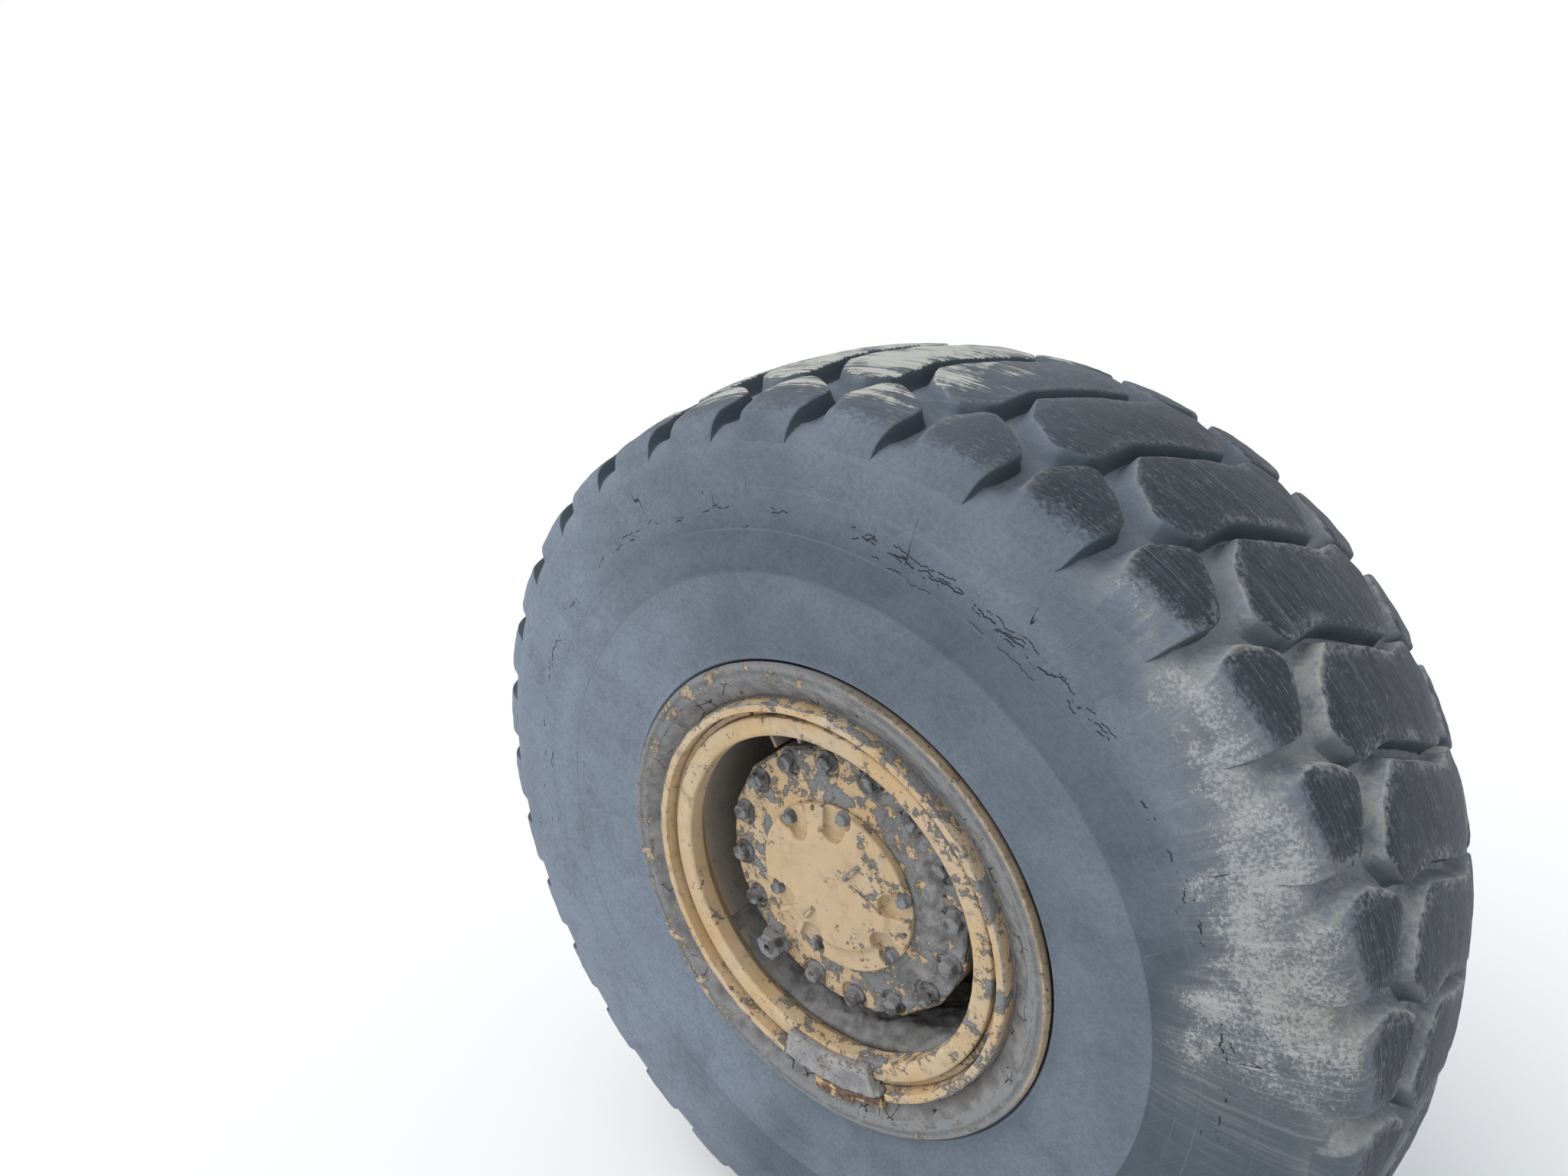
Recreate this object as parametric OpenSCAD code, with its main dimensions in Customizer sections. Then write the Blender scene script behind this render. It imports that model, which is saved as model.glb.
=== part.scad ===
// Dump truck wheel end: lugged tyre on a five-piece rim, planetary hub, stub axle and brake housing.
// The axle lies along Y. The outboard face looks to -Y, the truck's front is +X and up is +Z.
// The origin is the centre of the stub axle's mounting face.
// Depths named _at are measured inboard from the outboard edge of the rim.

/* [Rim] */
// Diameter of the bead seat at the flange
seat_d = 635; // [600:1:660]
// Width between the flanges
rim_w = 495.3; // [470:0.1:520]
// Width of each flange's rolled lip
lip_w = 36; // [30:1:42]
// Height of a flange above the bead seat
flange_h = 63.5; // [56:0.5:70]
// Thickness of a flange's web
web_t = 14; // [10:1:18]
// Thickness of the rim's barrel
barrel_t = 14; // [10:1:18]
// Bore of the gutter lip at the rim's outboard end
gutter_r = 264; // [256:1:272]
// Depth of the wheel disc's outboard face
disc_at = 300; // [270:1:320]
// Thickness of the wheel disc
disc_t = 22; // [16:1:28]

/* [Tyre] */
// Radius of the worn crown
tyre_r = 780; // [760:1:800]
// Width of the tyre at its widest
tyre_w = 597; // [580:1:606]
// Radius of the crown's curve from side to side
crown_curve = 809; // [700:1:1000]
// Depth of the tread grooves
groove = 25; // [12:1:34]
// Number of tread pitches round the tyre
pitches = 33; // [29:1:37]
// Thickness of the casing under the tread
casing_t = 40; // [30:1:50]

/* [Hub] */
// Radius of the bolted hub flange
hub_flange_r = 222; // [216:1:228]
// Radius of the hub flange's bolt circle
hub_bolt_circle = 203; // [198:1:206]
// Places on the hub flange's bolt circle
hub_places = 16; // [14:1:18]
// Depth of the face that the hub bolts' heads sit on
hub_seat_at = 77.5; // [75:0.5:82]
// Thickness of the hub flange
hub_flange_t = 25; // [20:1:30]
// Radius of the hub drum behind the flange
drum_r = 206; // [200:1:210]
// Radius of the centre cover
cover_r = 138; // [134:1:142]
// Depth of the cover's outer ring
cover_at = 52; // [50:0.5:54]
// Depth of the seat under the cover
cover_seat_at = 68; // [66:0.5:70]
// Radius of the cover's bolt circle
cover_bolt_circle = 127; // [122:1:130]
// Distance from the rim's barrel in to the wheel nuts' circle
nut_inset = 33; // [32:1:36]
// Number of wheel nuts
nuts = 20; // [12:1:24]

/* [Stub axle] */
// Distance from the mounting face out to the rim's inboard edge
setback = 40; // [20:1:60]
// Radius of the inboard bearing seat
bearing_in_r = 130; // [120:1:138]
// Radius of the outboard bearing seat
bearing_out_r = 100; // [90:1:112]
// Radius of the mounting flange
mount_r = 182; // [176:1:188]
// Radius of the mounting holes' circle
mount_circle = 160; // [155:1:164]
// Number of mounting holes
mount_holes = 16; // [8:2:18]
// Radius of a mounting hole
mount_hole_r = 10; // [8:0.5:11]
// Radius of the bore through the stub axle
axle_bore_r = 48; // [40:1:60]
// Outer radius of the brake housing
brake_r = 242; // [232:1:250]
// Length of the brake housing
brake_l = 150; // [130:1:160]

/* [Hidden] */

// Clearance between seated pieces, and the running clearance at the bearing seats
seat_gap = 0.3;
running_gap = 0.05;
// Room between the wheel and the parts that stand still
room = 8;
ring_fn = 96;

// Widths and places along the axle, from the rim's outboard edge
rim_all = rim_w + 2 * lip_w;
lip_y = -(setback + rim_all);
mid_at = rim_all / 2;
back_seat_at = rim_all - lip_w;

// Radii of the rim, from the bead seat inwards
seat_r = seat_d / 2;
flange_r = seat_r + flange_h;
base_r = seat_r - 21.5;
barrel_r = base_r - barrel_t;
nut_circle = barrel_r - nut_inset;
seat_taper = tan(5);

// Places of the parts along the gutter end
band_at = seat_gap;
band_end_at = 140;
ring_at = 22;
gutter_at = 12;
groove_at = 40;
groove_w = 10.5;
ring_foot_r = base_r - 7.5;
ring_outer_r = base_r + 10.7;
band_lip_r = seat_r + 3.5;

// The driver sits in notches at the bottom: [from, to] angles of the band's notch, the block, its key and the lump
band_notch = [-107.5, -70.5];
block_span = [-107, -74];
key_span = [-96, -84];
lump_span = [-84.5, -73];
key_r = seat_r + 26.5;
block_r = seat_r - 1.5;

// Bolts: flat width, head height, washer radius, washer thickness, shank radius, shank length
hub_bolt = [24, 14.5, 17.5, 4, 8, 45];
cover_bolt = [18, 9, 12.5, 3, 6, 22];
brake_bolt = [24, 12, 16, 3, 8, 30];
hub_bolt_start = 1.2;
plug_place = 10;
plug_boss_r = 27;
plug_boss_h = 15.5;
cover_bolt_angles = [128.2, 77.5, 8.6, -41.8, -112.7, -162.4];

// Planet housing: its face between the spotfaces, and the wall inside the hub
housing_face_at = cover_seat_at + 4;
hub_end_at = hub_seat_at + hub_flange_t + seat_gap;
housing_wall = 16;
spotface_r = 24;

// Cover: the raised middle, and pockets in pairs round three axes
plateau_at = cover_at - 5;
plateau_r = cover_r - 35;
pocket_at = cover_at + 10;
pocket_w = 40;
pocket_r = cover_r - 52;
cover_axes = [102.9, -16.6, -137.5];
pocket_turn = 19.5;

// Hub: places along the axle
pilot_r = nut_circle - 25;
nut_flange_r = nut_circle + 21;
nut_flange_t = 28;
nut_flange_at = disc_at + disc_t + seat_gap;
bearing_w = 42;
bearing_out_at = 212;
bearing_in_at = disc_at + 32;
hub_back_at = bearing_in_at + bearing_w + 14;
cavity_r = drum_r - 32;
cavity_end_at = bearing_out_at - 26;

// Stub axle and brake
axle_tip_at = bearing_out_at - 18;
mount_t = 40;
hole_depth = 32;
shoulder_r = mount_r + 40;
shoulder_back = 16;
brake_bolt_circle = mount_r + 20;
brake_bolts_n = 12;
neck_r = bearing_in_r + 14;

function from_mount(y) = y - lip_y;
function arc(c, r, from, to, n) =
    [for (i = [0:n]) let (a = from + (to - from) * i / n) [c[0] + r * cos(a), c[1] + r * sin(a)]];

// Turns a profile of [radius, depth] points round the axle
module turned(profile, fn = ring_fn) {
    translate([0, lip_y, 0]) rotate([-90, 0, 0]) rotate_extrude($fn = fn) polygon(profile);
}

// Places children round the axle; the angle runs from the front upwards
module at_angle(a) {
    rotate([0, -a, 0]) children();
}

// Lays children on a face at a depth, with their Z pointing outboard
module facing_out(r, depth) {
    translate([r, lip_y + depth, 0]) rotate([90, 0, 0]) children();
}

// A flanged hex bolt standing on z = 0 with its shank below
module bolt(b) {
    cylinder(h = b[3], r = b[2], $fn = 32);
    translate([0, 0, b[3]]) cylinder(h = b[1], r = b[0] / sqrt(3), $fn = 6);
    translate([0, 0, -b[5]]) cylinder(h = b[5], r = b[4], $fn = 24);
}

// The clear hole for a bolt's shank
module bolt_hole(b) {
    translate([0, 0, -b[5] - 2]) cylinder(h = b[5] + 4, r = b[4] + seat_gap, $fn = 24);
}

// Height of the crown at a distance from the tyre's middle
function crown(s) = tyre_r - crown_curve + sqrt(crown_curve * crown_curve - s * s);

half_w = tyre_w / 2;
tread_half = half_w - 53.5;
edge_r = crown(tread_half);
shoulder_end_r = tyre_r - 140;
// Half a centre block's outline: [degrees, distance from the tyre's middle]; the rest is it turned round
block_half = [[2.2, -160], [5.6, -128], [7.4, -82], [2.2, 66], [1.7, 138]];
// A point on the block's top inside that half
block_inner = [1.6, -85];
// Shoulder lug from its inner end out and down: [distance from the middle, radius] of its top
lug_top = [
    [163, crown(163)], [189, crown(189)], [214, crown(214)],
    [half_w - 38, edge_r - 7], [half_w - 16, edge_r - 30], [half_w - 6, edge_r - 58]
];
// The groove floor beside those rows; the last row of the lug runs out on the sidewall
lug_foot = [
    [158, crown(158) - groove], [187, crown(187) - groove], [214, crown(214) - groove],
    [half_w - 44, edge_r - groove - 4], [half_w - 21, edge_r - 36]
];
// Degrees from the lug's middle to its soft edge and to its steep edge, row by row
lug_ahead = [1.4, 3.2, 4.1, 3.6, 3.1, 2.8];
lug_behind = [-0.4, 2.4, 4.2, 3.7, 3.4, 3.2];
lug_shift = 3.5;
// How far the walls lean out: mm round a block, degrees beside a lug at its soft and its steep edge
wall_out = 7;
lug_wall_out = [0.8, 0.4];
// Degrees the whole pattern is turned from the front
tread_turn = -4.9;
pitch_angle = 360 / pitches;
// The blocks are drawn for 33 pitches and narrow or widen with the pitch
block_scale = pitch_angle * 33 / 360;
block_mm = tyre_r * PI / 180;

// Radius of the casing's corners whose flats clear a circle
function clear_of(r) = r / cos(180 / pitches);
// Sidewall and bead from the shoulder to the toe: [distance from the middle, radius]
side_line = [
    [half_w, shoulder_end_r - 60], [half_w - 28, flange_r + 14], [rim_w / 2 + 3, clear_of(flange_r - 12)],
    [rim_w / 2 - seat_gap, clear_of(flange_r - 27)], [rim_w / 2 - seat_gap, clear_of(seat_r + 2 * seat_gap)],
    [rim_w / 2 - 78, clear_of(seat_r - 78 * seat_taper + 2 * seat_gap)]
];
// Half the cavity from the sidewall to the middle of the crown
cavity_line = [
    [half_w - 36, flange_r + 120], [tread_half - 20, edge_r - groove - casing_t],
    [0, tyre_r - groove - casing_t]
];
function turned_round(points) = [for (p = points) [-p[0], -p[1], p[2]]];
function reversed(list) = [for (i = [len(list) - 1:-1:0]) list[i]];
function unit(v) = v / norm(v);

// An outline moved outwards by a distance, corner by corner
function spread(points, by) = let (n = len(points)) [for (i = [0:n - 1]) let (
    before = unit(points[i] - points[(i + n - 1) % n]), after = unit(points[(i + 1) % n] - points[i]),
    out = [before[1] + after[1], -before[0] - after[0]]
) points[i] + out * by / (1 + before * after)];

block_ring = let (half = [for (p = block_half) [p[0] * block_mm, p[1]]]) concat(half, -half);
function on_block(points, drop) = [for (p = points) [p[0] / block_mm, p[1], crown(p[1]) - drop]];
inner_points = let (p = [block_inner[0], block_inner[1], crown(block_inner[1])])
    [p, [-p[0], -p[1], p[2]], [0, 0, tyre_r]];

// The corners of one pitch as [degrees, distance from the middle, radius]
lug_rows = len(lug_top);
function lug_points() = concat(
    [for (i = [0:lug_rows - 1]) [lug_ahead[i] - lug_shift, -lug_top[i][0], lug_top[i][1]]],
    [for (i = [0:lug_rows - 1]) [-lug_behind[i] - lug_shift, -lug_top[i][0], lug_top[i][1]]],
    [for (i = [0:lug_rows - 2]) [lug_ahead[i] - lug_shift + lug_wall_out[0], -lug_foot[i][0], lug_foot[i][1]]],
    [for (i = [0:lug_rows - 2]) [-lug_behind[i] - lug_shift - lug_wall_out[1], -lug_foot[i][0], lug_foot[i][1]]]
);
casing_rings = concat(
    [for (p = side_line) [0, -p[0], p[1]]], [for (p = cavity_line) [0, -p[0], p[1]]],
    [for (i = [len(cavity_line) - 2:-1:0]) [0, cavity_line[i][0], cavity_line[i][1]]],
    [for (p = reversed(side_line)) [0, p[0], p[1]]]
);
pitch_points = concat(
    on_block(block_ring, 0), on_block(spread(block_ring, wall_out), groove), inner_points,
    lug_points(), turned_round(lug_points()), casing_rings
);

// Places of those corners in the list, for a pitch p; a lug is on side 0 outboard or side 1 inboard
stride = len(pitch_points);
block_n = len(block_ring);
lug_at = 2 * block_n + len(inner_points);
lug_n = 4 * lug_rows - 2;
ring_at_index = lug_at + 2 * lug_n;
rings_n = len(casing_rings);
function place(p, i) = ((p + pitches) % pitches) * stride + i;
function top_of(p, i) = place(p, i % block_n);
function foot_of(p, i) = place(p, block_n + i % block_n);
function inner_of(p, i) = place(p, 2 * block_n + i);
function lug_edge(p, side, edge, i) = place(p, lug_at + side * lug_n + edge * lug_rows + i);
function lug_floor(p, side, edge, i) = i == lug_rows - 1 ? lug_edge(p, side, edge, i)
    : place(p, lug_at + side * lug_n + 2 * lug_rows + edge * (lug_rows - 1) + i);
function ring(p, i) = place(p, ring_at_index + i);
function quad(a, b, c, d) = concat([[a, b, c]], c == d ? [] : [[a, c, d]]);

function block_faces(p) = concat(
    [for (k = [0, 1], i = [8:12]) [inner_of(p, k), top_of(p, 5 * k + i), top_of(p, 5 * k + i + 1)]],
    [for (k = [0, 1]) each [
        [inner_of(p, k), top_of(p, 5 * k + 3), inner_of(p, 2)],
        [inner_of(p, 2), top_of(p, 5 * k + 3), inner_of(p, 1 - k)]
    ]],
    [for (i = [0:block_n - 1]) each quad(top_of(p, i), foot_of(p, i), foot_of(p, i + 1), top_of(p, i + 1))]
);
function lug_faces(p, g) = concat(
    [for (i = [0:lug_rows - 2]) each concat(
        quad(lug_edge(p, g, 0, i + 1), lug_edge(p, g, 0, i), lug_edge(p, g, 1, i), lug_edge(p, g, 1, i + 1)),
        quad(lug_floor(p, g, 0, i), lug_edge(p, g, 0, i), lug_edge(p, g, 0, i + 1), lug_floor(p, g, 0, i + 1)),
        quad(lug_edge(p, g, 1, i), lug_floor(p, g, 1, i), lug_floor(p, g, 1, i + 1), lug_edge(p, g, 1, i + 1))
    )],
    quad(lug_edge(p, g, 0, 0), lug_floor(p, g, 0, 0), lug_floor(p, g, 1, 0), lug_edge(p, g, 1, 0))
);
// The groove between a lug and the next one, with a centre block's end between them
function groove_faces(p, g) = let (
    next = p + 1 - 2 * g, tip = foot_of(p, 5 * g), ahead = foot_of(p, 5 * g + 1), behind = foot_of(p, 5 * g + 9),
    a = [for (i = [0:lug_rows - 1]) lug_floor(p, g, 0, i)], b = [for (i = [0:lug_rows - 1]) lug_floor(next, g, 1, i)]
) concat(
    [[b[2], b[1], tip], [b[2], tip, a[2]], [a[2], tip, a[1]], [b[1], b[0], tip], [b[0], ahead, tip],
        [tip, a[0], a[1]], [tip, behind, a[0]]],
    [for (i = [2:lug_rows - 2]) each quad(b[i + 1], b[i], a[i], a[i + 1])]
);
// The groove between a centre block and the next one, half of it from each side
function cross_faces(p, g) = let (
    next = p + 1 - 2 * g, k = 5 * g,
    f1 = foot_of(p, k + 1), f2 = foot_of(p, k + 2), f3 = foot_of(p, k + 3), h7 = foot_of(next, k + 7),
    h8 = foot_of(next, k + 8), h9 = foot_of(next, k + 9), lug_a = lug_floor(next, g, 0, 0), lug_b = lug_floor(next, g, 1, 0)
) [[lug_b, lug_a, f1], [lug_a, h9, f1], [f1, h9, f2], [f2, h9, h8], [f2, h8, h7]];
// The run of the lugs' ends into the first ring of the sidewall
function shoulder_faces(p, g) = let (
    next = p + 1 - 2 * g, last = p - 1 + 2 * g, w = g == 0 ? 0 : rings_n - 1, e = lug_rows - 1
) [
    [ring(p, w), lug_edge(next, g, 1, e), lug_edge(p, g, 0, e)],
    [ring(p, w), lug_edge(p, g, 0, e), lug_edge(p, g, 1, e)],
    [ring(last, w), ring(p, w), lug_edge(p, g, 1, e)]
];
function casing_faces(p) =
    [for (i = [0:rings_n - 2]) each quad(ring(p, i + 1), ring(p + 1, i + 1), ring(p + 1, i), ring(p, i))];

function on_tyre(degrees, s, r) =
    let (a = degrees) [r * cos(a), lip_y + mid_at + s, r * sin(a)];

module tyre() {
    color([0.20, 0.22, 0.24]) polyhedron(
        [for (p = [0:pitches - 1], c = pitch_points)
            on_tyre(c[0] * block_scale + p * pitch_angle + tread_turn, c[1], c[2])],
        [for (p = [0:pitches - 1]) each concat(block_faces(p), casing_faces(p),
            [for (g = [0, 1]) each concat(lug_faces(p, g), groove_faces(p, g), cross_faces(p, g), shoulder_faces(p, g))])]
    );
}

// A flange: foot on the seat, web up the bead, lip rolled outwards; depths from its own edge
function flange_outline() = concat(
    [[seat_r + 2 * seat_gap, lip_w - web_t], [seat_r + 14, lip_w - web_t]],
    arc([seat_r + 14, lip_w - web_t - 20], 20, 75, 15, 4),
    [[flange_r - 23, 0.8], [flange_r - 8, 0], [flange_r - 2, 2.5], [flange_r, 8]],
    arc([flange_r - 29, lip_w - 28], 28, 10, 90, 6),
    [[seat_r + 2 * seat_gap, lip_w]]
);

module front_flange() {
    color([0.72, 0.58, 0.34]) difference() {
        turned(flange_outline());
        sector(key_span + [-0.5, 0.5], seat_r, key_r + seat_gap, -1, ring_at);
    }
}

module back_flange() {
    color([0.72, 0.58, 0.34]) turned([for (p = flange_outline()) [p[0], rim_all - p[1]]]);
}

// A sector between two angles, two radii and two depths
module sector(span, r_in, r_out, front, back) {
    half = (span[1] - span[0]) / 2;
    at_angle((span[0] + span[1]) / 2) intersection() {
        facing_out(0, back) difference() {
            cylinder(h = back - front, r = r_out, $fn = ring_fn);
            translate([0, 0, -1]) cylinder(h = back - front + 2, r = r_in, $fn = ring_fn);
        }
        facing_out(0, back + 1) linear_extrude(height = back - front + 2)
            polygon([[0, 0], 1.3 * r_out * [cos(half), sin(half)], 1.3 * r_out * [cos(half), -sin(half)]]);
    }
}

module bead_seat_band() {
    color([0.60, 0.50, 0.33]) difference() {
        turned([
            [ring_outer_r + seat_gap, band_at], [band_lip_r - 1, band_at], [band_lip_r, band_at + 1],
            [band_lip_r, ring_at - seat_gap], [seat_r + seat_gap, ring_at - seat_gap],
            [seat_r, lip_w], [seat_r - (band_end_at - lip_w) * seat_taper, band_end_at - 4],
            [base_r + 6, band_end_at], [base_r + seat_gap, band_end_at],
            [base_r + seat_gap, groove_at + groove_w + 4],
            [ring_outer_r + seat_gap, ring_at + 2]
        ]);
        sector(band_notch, base_r, key_r, -1, ring_at);
    }
}

// Split ring wedged between the band and the gutter
module lock_ring() {
    split_angle = 109;
    split_w = 8;
    color([0.70, 0.56, 0.30]) difference() {
        turned([
            [base_r, ring_at], [ring_outer_r - 1.7, ring_at], [ring_outer_r, ring_at + 2],
            [base_r + 1, groove_at + groove_w - 1], [ring_foot_r + seat_gap, groove_at + groove_w - 1],
            [ring_foot_r + seat_gap, groove_at + seat_gap], [base_r, groove_at + seat_gap]
        ]);
        at_angle(split_angle) translate([base_r - 20, lip_y, -split_w / 2]) cube([40, 80, split_w]);
    }
}

module rim_base() {
    back_r = seat_r - 12.5;
    ramp_at = back_seat_at - 106;
    color([0.74, 0.66, 0.50]) turned(concat(
        arc([gutter_r + 8, gutter_at + 11], 8, 180, 262, 4),
        arc([base_r - 7, gutter_at + 6], 6, 270, 360, 4),
        [
            [base_r - 1, groove_at - seat_gap], [ring_foot_r, groove_at - seat_gap],
            [ring_foot_r, groove_at + groove_w], [base_r, groove_at + groove_w],
            [base_r, ramp_at - 25], [seat_r - 104 * seat_taper, ramp_at],
            [seat_r, back_seat_at], [seat_r + seat_gap, rim_all - ring_at + seat_gap],
            [band_lip_r, rim_all - ring_at + seat_gap], [band_lip_r, rim_all - band_at - 1],
            [band_lip_r - 1, rim_all - band_at], [back_r + 5, rim_all - band_at],
            [back_r, rim_all - 2 * ring_at], [back_r - 4, ramp_at + 15], [barrel_r, ramp_at - 25],
            [barrel_r, 62], [gutter_r, 42]
        ]
    ));
}

module wheel_disc() {
    color([0.58, 0.48, 0.30]) difference() {
        turned([
            [pilot_r + seat_gap, disc_at], [nut_flange_r, disc_at], [barrel_r - seat_gap, disc_at + 12],
            [barrel_r - seat_gap, disc_at + disc_t + 12], [nut_flange_r + 2, disc_at + disc_t],
            [pilot_r + seat_gap, disc_at + disc_t]
        ]);
        for (i = [0:nuts - 1]) at_angle((i + 0.5) * 360 / nuts)
            facing_out(nut_circle, disc_at + disc_t + 5) cylinder(h = disc_t + 10, r = 12, $fn = 24);
    }
}

module wheel_nuts() {
    color([0.40, 0.36, 0.30]) for (i = [0:nuts - 1]) at_angle((i + 0.5) * 360 / nuts)
        facing_out(nut_circle, disc_at) {
            cylinder(h = 6, r = 17, $fn = 32);
            translate([0, 0, 6]) cylinder(h = 18, r = 32 / sqrt(3), $fn = 6);
            cylinder(h = 38, r = 11, $fn = 24);
            translate([0, 0, -disc_t - 20]) cylinder(h = disc_t + 20, r = 11, $fn = 24);
        }
}

// A block over the gutter's lip with a key up into the flange and a worn lump beside the key
module driver() {
    back = ring_at - seat_gap;
    step_at = gutter_at - seat_gap;
    color([0.55, 0.36, 0.18]) union() {
        sector(block_span, gutter_r + 1, block_r, -3, step_at);
        sector(block_span, base_r + seat_gap, block_r, 4, back);
        sector(key_span, block_r - 8, key_r, band_at, back);
        sector(lump_span, block_r - 8, key_r - 9, 3, back - 1);
    }
}

// Valve guard: two plates welded across the barrel beside the valve
valve_angle = 109.5;
module valve_guard() {
    plate = [barrel_r - hub_flange_r - 8, 70, 6];
    color([0.62, 0.52, 0.34]) for (a = [-6.5, 6.5]) at_angle(valve_angle + a)
        translate([barrel_r - seat_gap - plate[0], lip_y + 70, -plate[2] / 2]) cube(plate);
}

module valve() {
    color([0.45, 0.42, 0.36]) at_angle(valve_angle) {
        translate([barrel_r - 32, lip_y + 118, 0]) rotate([0, 90, 0]) cylinder(h = 32 - seat_gap, r = 11, $fn = 32);
        facing_out(barrel_r - 32, 128) cylinder(h = 30, r = 9, $fn = 32);
        facing_out(barrel_r - 32, 98) cylinder(h = 10, r = 12, $fn = 6);
    }
}

module hub() {
    color([0.42, 0.38, 0.31]) difference() {
        turned([
            [cavity_r, hub_end_at], [hub_flange_r, hub_end_at], [hub_flange_r, hub_end_at + 22],
            [drum_r, hub_end_at + 34], [drum_r, disc_at - 24], [pilot_r, disc_at - 6],
            [pilot_r, nut_flange_at], [nut_flange_r, nut_flange_at],
            [nut_flange_r, nut_flange_at + nut_flange_t], [bearing_in_r + 48, hub_back_at - 12],
            [bearing_in_r + 44, hub_back_at], [bearing_in_r + room, hub_back_at],
            [bearing_in_r + room, bearing_in_at + bearing_w], [bearing_in_r + running_gap, bearing_in_at + bearing_w],
            [bearing_in_r + running_gap, bearing_in_at], [bearing_in_r + room, bearing_in_at - 2],
            [bearing_out_r + room, bearing_out_at + bearing_w + 4],
            [bearing_out_r + running_gap, bearing_out_at + bearing_w], [bearing_out_r + running_gap, bearing_out_at],
            [bearing_out_r + room, bearing_out_at - 2], [bearing_out_r + room, cavity_end_at],
            [cavity_r, cavity_end_at]
        ]);
        for (i = [0:hub_places - 1]) at_angle(hub_bolt_start + i * 360 / hub_places)
            facing_out(hub_bolt_circle, hub_seat_at) bolt_hole(hub_bolt);
        for (i = [0:nuts - 1]) at_angle((i + 0.5) * 360 / nuts)
            facing_out(nut_circle, disc_at) translate([0, 0, -disc_t - 22]) cylinder(h = 60, r = 11 + seat_gap, $fn = 24);
    }
}

module planet_housing() {
    inner_r = cavity_r - housing_wall;
    rim_r = hub_flange_r + 4;
    corners = [for (i = [0:hub_places - 1]) let (a = hub_bolt_start + i * 360 / hub_places) rim_r * [cos(a), sin(a)]];
    color([0.70, 0.61, 0.44]) difference() {
        union() {
            turned([
                [0, cover_seat_at + 20], [inner_r, cover_seat_at + 20], [inner_r, hub_end_at + 12],
                [cavity_r - seat_gap, hub_end_at + 12], [cavity_r - seat_gap, hub_end_at - seat_gap - 1],
                [hub_flange_r - 4, hub_end_at - seat_gap - 1], [hub_flange_r - 4, housing_face_at + 1],
                [hub_flange_r - 6, housing_face_at], [cover_r + 12, housing_face_at],
                [cover_r + 7, cover_seat_at], [0, cover_seat_at]
            ]);
            facing_out(0, hub_end_at - seat_gap) difference() {
                linear_extrude(height = hub_flange_t - 1) polygon(corners);
                translate([0, 0, -1]) cylinder(h = hub_flange_t + 2, r = cavity_r - 2, $fn = ring_fn);
            }
            at_angle(hub_bolt_start + plug_place * 360 / hub_places)
                facing_out(hub_bolt_circle, hub_seat_at + 2) cylinder(h = plug_boss_h + 2, r = plug_boss_r, $fn = 48);
        }
        for (i = [0:hub_places - 1]) at_angle(hub_bolt_start + i * 360 / hub_places)
            facing_out(hub_bolt_circle, hub_seat_at) {
                if (i != plug_place) cylinder(h = 20, r = spotface_r, $fn = 48);
                bolt_hole(hub_bolt);
                if (i == plug_place) cylinder(h = 30, r = hub_bolt[4] + seat_gap, $fn = 24);
            }
        for (a = cover_bolt_angles) at_angle(a) facing_out(cover_bolt_circle, cover_seat_at) bolt_hole(cover_bolt);
    }
}

module hub_bolts() {
    color([0.50, 0.46, 0.38]) for (i = [0:hub_places - 1]) if (i != plug_place)
        at_angle(hub_bolt_start + i * 360 / hub_places) facing_out(hub_bolt_circle, hub_seat_at) bolt(hub_bolt);
}

// The oil plug takes the place of one hub bolt: a washer, a chamfered hexagon with a socket, a thread
module oil_plug() {
    color([0.44, 0.34, 0.24]) at_angle(hub_bolt_start + plug_place * 360 / hub_places)
        facing_out(hub_bolt_circle, hub_seat_at - plug_boss_h - seat_gap) difference() {
            union() {
                cylinder(h = 6, r = 26, $fn = 48);
                translate([0, 0, 6]) cylinder(h = 18, r = 41 / sqrt(3), $fn = 6);
                translate([0, 0, 24]) cylinder(h = 3, r1 = 20.5, r2 = 17.5, $fn = 48);
                translate([0, 0, -30]) cylinder(h = 30, r = hub_bolt[4], $fn = 24);
            }
            translate([0, 0, 17]) cylinder(h = 20, r = 6, $fn = 32);
        }
}

// Cast cover: a raised middle, a ring round it, and six pockets open at the edge for its bolts
module cover() {
    edge = 2.5;
    land_w = 30;
    land_lean = 17;
    base_at = cover_seat_at - seat_gap;
    color([0.80, 0.69, 0.46]) difference() {
        turned([
            [0, plateau_at], [plateau_r - 5, plateau_at], [plateau_r + 2, cover_at - 1], [plateau_r + 6, cover_at],
            [cover_r - edge, cover_at], [cover_r - 0.5, cover_at + edge], [cover_r, base_at], [0, base_at]
        ]);
        for (axis = cover_axes) {
            for (side = [-1, 1]) at_angle(axis + side * pocket_turn) facing_out(0, pocket_at) {
                translate([pocket_r + pocket_w / 2, 0, 0]) cylinder(h = 30, r = pocket_w / 2, $fn = 48);
                translate([pocket_r + pocket_w / 2, 0.5 - pocket_w / 2, 0]) cube([60, pocket_w - 1, 30]);
            }
            at_angle(axis) facing_out(plateau_r - 3, plateau_at) rotate([0, land_lean, 0])
                translate([0, -land_w / 2, 0]) cube([60, land_w, 20]);
            at_angle(axis) facing_out(cover_r - 8, pocket_at + 2) cylinder(h = 20, r = 3.5, $fn = 24);
        }
        for (a = cover_bolt_angles) at_angle(a) facing_out(cover_bolt_circle, pocket_at) {
            cylinder(h = 30, r = 18, $fn = 48);
            bolt_hole(cover_bolt);
        }
    }
}

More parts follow.
